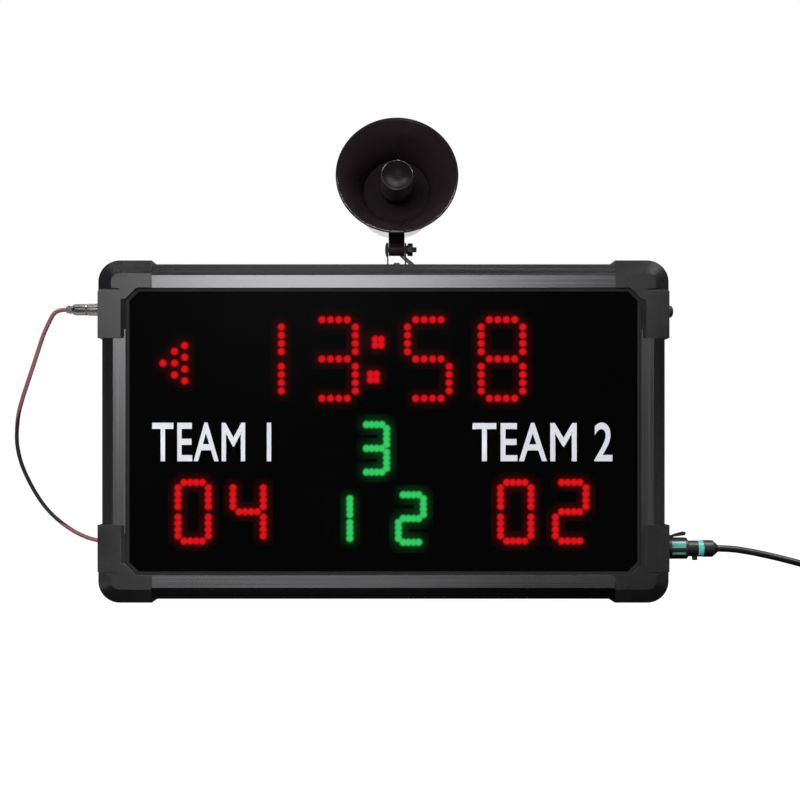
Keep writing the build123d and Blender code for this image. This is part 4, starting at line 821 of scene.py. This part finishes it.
def makeLegend(name, words, left, right, low, high):
    text = bpy.data.curves.new(name, "FONT")
    text.body = words
    text.offset = legendSet["weight"]
    text.space_character = legendSet["spacing"]
    text.resolution_u = 6
    carrier = bpy.data.objects.new(name, text)
    scene.collection.objects.link(carrier)
    bpy.context.view_layer.update()
    mesh = bpy.data.meshes.new_from_object(carrier.evaluated_get(bpy.context.evaluated_depsgraph_get()))
    bpy.data.objects.remove(carrier)
    lowX, highX = min(v.co.x for v in mesh.vertices), max(v.co.x for v in mesh.vertices)
    lowY, highY = min(v.co.y for v in mesh.vertices), max(v.co.y for v in mesh.vertices)
    for v in mesh.vertices:
        x = left + (v.co.x - lowX) / (highX - lowX) * (right - left)
        z = low + (v.co.y - lowY) / (highY - lowY) * (high - low)
        v.co = metres((x, legendSet["level"], z))
    mesh.materials.clear()
    mesh.materials.append(finishes["legendWhite"])
    return addPiece(name, mesh, "board")


for name, values in legendSet["legends"].items():
    makeLegend(name, *values)
print("legends set")

# Teal windows in the mains plug's shell
windowSet = {
    "axisHeight": 60.6,
    "shell": 12.2,
    "lift": 0.25,
    "sink": 0.3,
    "ends": (336.8, 352.8),
    # lower and upper angle of each window, seen along the plug, in degrees up from the front
    "angles": ((7.0, 44.0), (-31.0, -19.0), (136.0, 173.0)),
    "steps": 10,
}


def makeWindows():
    shape = bmesh.new()
    outer, inner = windowSet["shell"] + windowSet["lift"], windowSet["shell"] - windowSet["sink"]
    start, end = windowSet["ends"]
    height = windowSet["axisHeight"]
    for low, high in windowSet["angles"]:
        sections = []
        for step in range(windowSet["steps"] + 1):
            angle = math.radians(low + (high - low) * step / windowSet["steps"])
            sections.append([
                shape.verts.new(metres((x, -radius * math.cos(angle), height + radius * math.sin(angle))))
                for x, radius in ((start, inner), (start, outer), (end, outer), (end, inner))])
        bridge(shape, sections)
    return addPiece("plugWindows", closedMesh(shape, "plugWindows", "plugWindow"), "board")


# Knurl of the speaker plug's ring
knurlSet = {"ridges": 26, "height": 340.7, "foot": 6.75, "top": 7.05, "ends": (-333.6, -345.0), "share": 0.55}


def makeKnurl():
    shape = bmesh.new()
    half = math.pi / knurlSet["ridges"] * knurlSet["share"]
    foot, top, height = knurlSet["foot"], knurlSet["top"], knurlSet["height"]
    for ridge in range(knurlSet["ridges"]):
        middle = 2 * math.pi * ridge / knurlSet["ridges"]
        profile = [(radius * math.cos(middle + turn * half), height + radius * math.sin(middle + turn * half))
                   for turn, radius in ((-1, foot), (-0.5, top), (0.5, top), (1, foot))]
        bridge(shape, [[shape.verts.new(metres((x, y, z))) for y, z in profile] for x in knurlSet["ends"]])
    return addPiece("ringKnurl", closedMesh(shape, "ringKnurl", "nickel"), "plug_ring")


plugWindows = makeWindows()
ringKnurl = makeKnurl()
print("plug windows and ring knurl made")


# Helpers for the leads
def smoothLine(name, points, radius=0.0):
    curve = bpy.data.curves.new(name, "CURVE")
    curve.dimensions = "3D"
    spline = curve.splines.new("NURBS")
    spline.points.add(len(points) - 1)
    for point, place in zip(spline.points, points):
        point.co = (*metres(place), 1.0)
    spline.order_u = 3
    spline.use_endpoint_u = True
    spline.resolution_u = 6
    curve.bevel_depth = radius / 1000
    curve.bevel_resolution = 5
    curve.use_fill_caps = True
    return curve


def readLine(curve):
    carrier = bpy.data.objects.new("reading", curve)
    mesh = bpy.data.meshes.new_from_object(carrier)
    points = [v.co.copy() for v in mesh.vertices]
    bpy.data.objects.remove(carrier)
    bpy.data.meshes.remove(mesh)
    return points


def lineLength(points):
    return round(sum((Vector(b) - Vector(a)).length for a, b in zip(points, points[1:])), 3)


# Mains lead, with its coil
mainsSet = {
    "radius": 4.0,
    "coilCentre": (625.0, 57.0),
    "coilOuter": 57.0,
    "coilPitch": 8.6,
    "coilLayer": 8.6,
    "coilLow": 5.2,
    "turnsIn": 2.75,
    "turnsOut": 2.75,
    "pointsPerTurn": 20,
    "route": [(391.8, 0.0, 60.6), (406.0, 0.0, 60.6), (428.0, -0.4, 57.4), (456.0, -1.0, 51.6),
              (488.0, -1.2, 43.4), (520.0, -0.8, 34.2), (551.0, -0.2, 25.2), (577.0, 0.1, 18.2),
              (599.0, 0.0, 13.8), (617.0, 0.0, 13.8)],
    "ending": ((11.0, 5.5), (22.0, 6.8), (30.0, 6.8)),   # distance back from the coil, height
}


def coilPlace(angle):
    reverse = 2 * math.pi * mainsSet["turnsIn"]
    pitch = mainsSet["coilPitch"]
    radius = mainsSet["coilOuter"] + pitch * (abs(angle - reverse) / (2 * math.pi) - mainsSet["turnsIn"])
    drop = eased(angle, reverse - math.pi / 2, reverse + math.pi / 2)
    heading = angle - math.pi / 2
    return (mainsSet["coilCentre"][0] + radius * math.cos(heading),
            mainsSet["coilCentre"][1] + radius * math.sin(heading),
            mainsSet["coilLow"] + mainsSet["coilLayer"] * (1 - drop))


turns = mainsSet["turnsIn"] + mainsSet["turnsOut"]
coilSteps = round(turns * mainsSet["pointsPerTurn"])
coilPoints = [coilPlace(2 * math.pi * turns * step / coilSteps) for step in range(coilSteps + 1)]
endX, endY = coilPoints[-1][:2]
endPoints = [(endX - back, endY, height) for back, height in mainsSet["ending"]]
mainsPoints = mainsSet["route"] + coilPoints + endPoints
mainsCurve = smoothLine("mainsLead", mainsPoints, mainsSet["radius"])
mainsCurve.materials.append(finishes["sheathRubber"])
mainsLead = addPiece("mainsLead", mainsCurve, "board", ["power_cord", "power_cord_coil"])
print("mains lead length", lineLength(readLine(smoothLine("mainsRoute", mainsPoints))))

# Speaker lead: round, one half red and one half black, with a fine groove between them
leadSet = {
    "radius": 2.45,
    "groove": 0.30,                  # depth of the groove
    "grooveWidth": 16.0,             # degrees
    "sides": 28,
    # the loop shows its red half above, and turns until the black half is in front below
    "turnOver": (240.0, 190.0),      # heights between which it turns over
    "turnBack": (78.0, 100.0),
    "facing": (-62.0, 86.0),         # where the black half looks, in degrees from the right to the front
    "join": (-300.0, -330.0),        # the lead runs behind the board up to here
    "bend": ((15.5, 58.0, 444.0), (15.5, 58.0, 384.0)),      # the stretch of the lead just below the horn
    "drop": [(15.5, 56.089, 446.983), (15.5, 63.915, 445.320), (15.6, 72.6, 441.6), (16.0, 77.0, 435.0),
             (17.0, 76.4, 426.8), (19.6, 71.4, 418.6), (24.6, 62.6, 410.8), (31.2, 53.0, 404.2),
             (37.2, 44.8, 397.6), (41.9, 38.2, 390.0), (44.0, 34.3, 381.0)],
    "back": [(44.0, 34.3, 356.0), (38.0, 34.3, 335.0), (24.0, 34.3, 313.0), (-6.0, 34.3, 289.0),
             (-48.0, 34.3, 264.0), (-92.0, 34.3, 242.0), (-137.0, 34.3, 217.0), (-181.0, 34.3, 188.0),
             (-221.0, 34.3, 156.0), (-254.0, 34.3, 122.0), (-279.0, 34.3, 96.0), (-301.0, 35.6, 78.0),
             (-318.0, 37.0, 71.6)],
    "loop": [(-333.3, 38.26, 65.84), (-352.0, 37.6, 69.4), (-369.0, 36.4, 77.2), (-386.0, 35.0, 88.8),
             (-401.5, 33.0, 103.8), (-413.5, 30.0, 121.2), (-423.3, 27.0, 140.4), (-430.9, 23.5, 159.6),
             (-435.0, 20.0, 180.8), (-434.6, 17.0, 198.6), (-432.0, 14.0, 219.0), (-426.0, 11.0, 238.0),
             (-418.2, 8.0, 259.0), (-409.8, 5.0, 282.0), (-404.0, 3.0, 298.6), (-398.4, 1.2, 313.6),
             (-392.2, 0.4, 326.4), (-387.0, 0.1, 336.5), (-379.3, 0.0, 340.7), (-371.3, 0.0, 340.7)],
}


def blackSide(point, along, carried):
    share = eased(point.x * 1000, *leadSet["join"])
    if share == 0.0:
        return carried
    side = Vector((0, 1, 0)).cross(along).normalized()
    front = side.cross(along)
    turned = eased(point.z * 1000, *leadSet["turnOver"]) * eased(point.z * 1000, *leadSet["turnBack"])
    low, high = leadSet["facing"]
    facing = math.radians(low + (high - low) * turned)
    chosen = side * math.cos(facing) + front * math.sin(facing)
    return (carried * (1 - share) + chosen * share).normalized()


def makeLead(name, line):
    radius, sides = leadSet["radius"] / 1000, leadSet["sides"]
    shape = bmesh.new()
    carried = Vector((1, 0, 0))
    rings = []
    for i, point in enumerate(line):
        along = (line[min(i + 1, len(line) - 1)] - line[max(i - 1, 0)]).normalized()
        carried = (carried - along * carried.dot(along)).normalized()
        black = blackSide(point, along, carried)
        other = along.cross(black)
        ring = []
        for corner in range(sides):
            turn = 2 * math.pi * (corner + 0.5) / sides
            off = (math.degrees(turn) % 180 - 90) / leadSet["grooveWidth"]
            reach = radius - leadSet["groove"] / 1000 * math.exp(-off * off)
            ring.append(shape.verts.new(point + (black * math.cos(turn) + other * math.sin(turn)) * reach))
        rings.append(ring)
    for count, face in enumerate(bridge(shape, rings)):
        face.material_index = 0 if math.cos(2 * math.pi * (count % sides + 1) / sides) < 0 else 1
        face.smooth = True
    return closedMesh(shape, name, "leadRed", "leadBlack")


leadLine = readLine(smoothLine("leadRoute", leadSet["drop"] + leadSet["back"] + leadSet["loop"]))
speakerLead = addPiece("speakerLead", makeLead("speakerLead", leadLine), "",
                       ["lead_drop", "lead_back", "lead_loop"])
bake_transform(speakerLead)
print("speaker lead length", lineLength(leadLine))
print("leads laid")
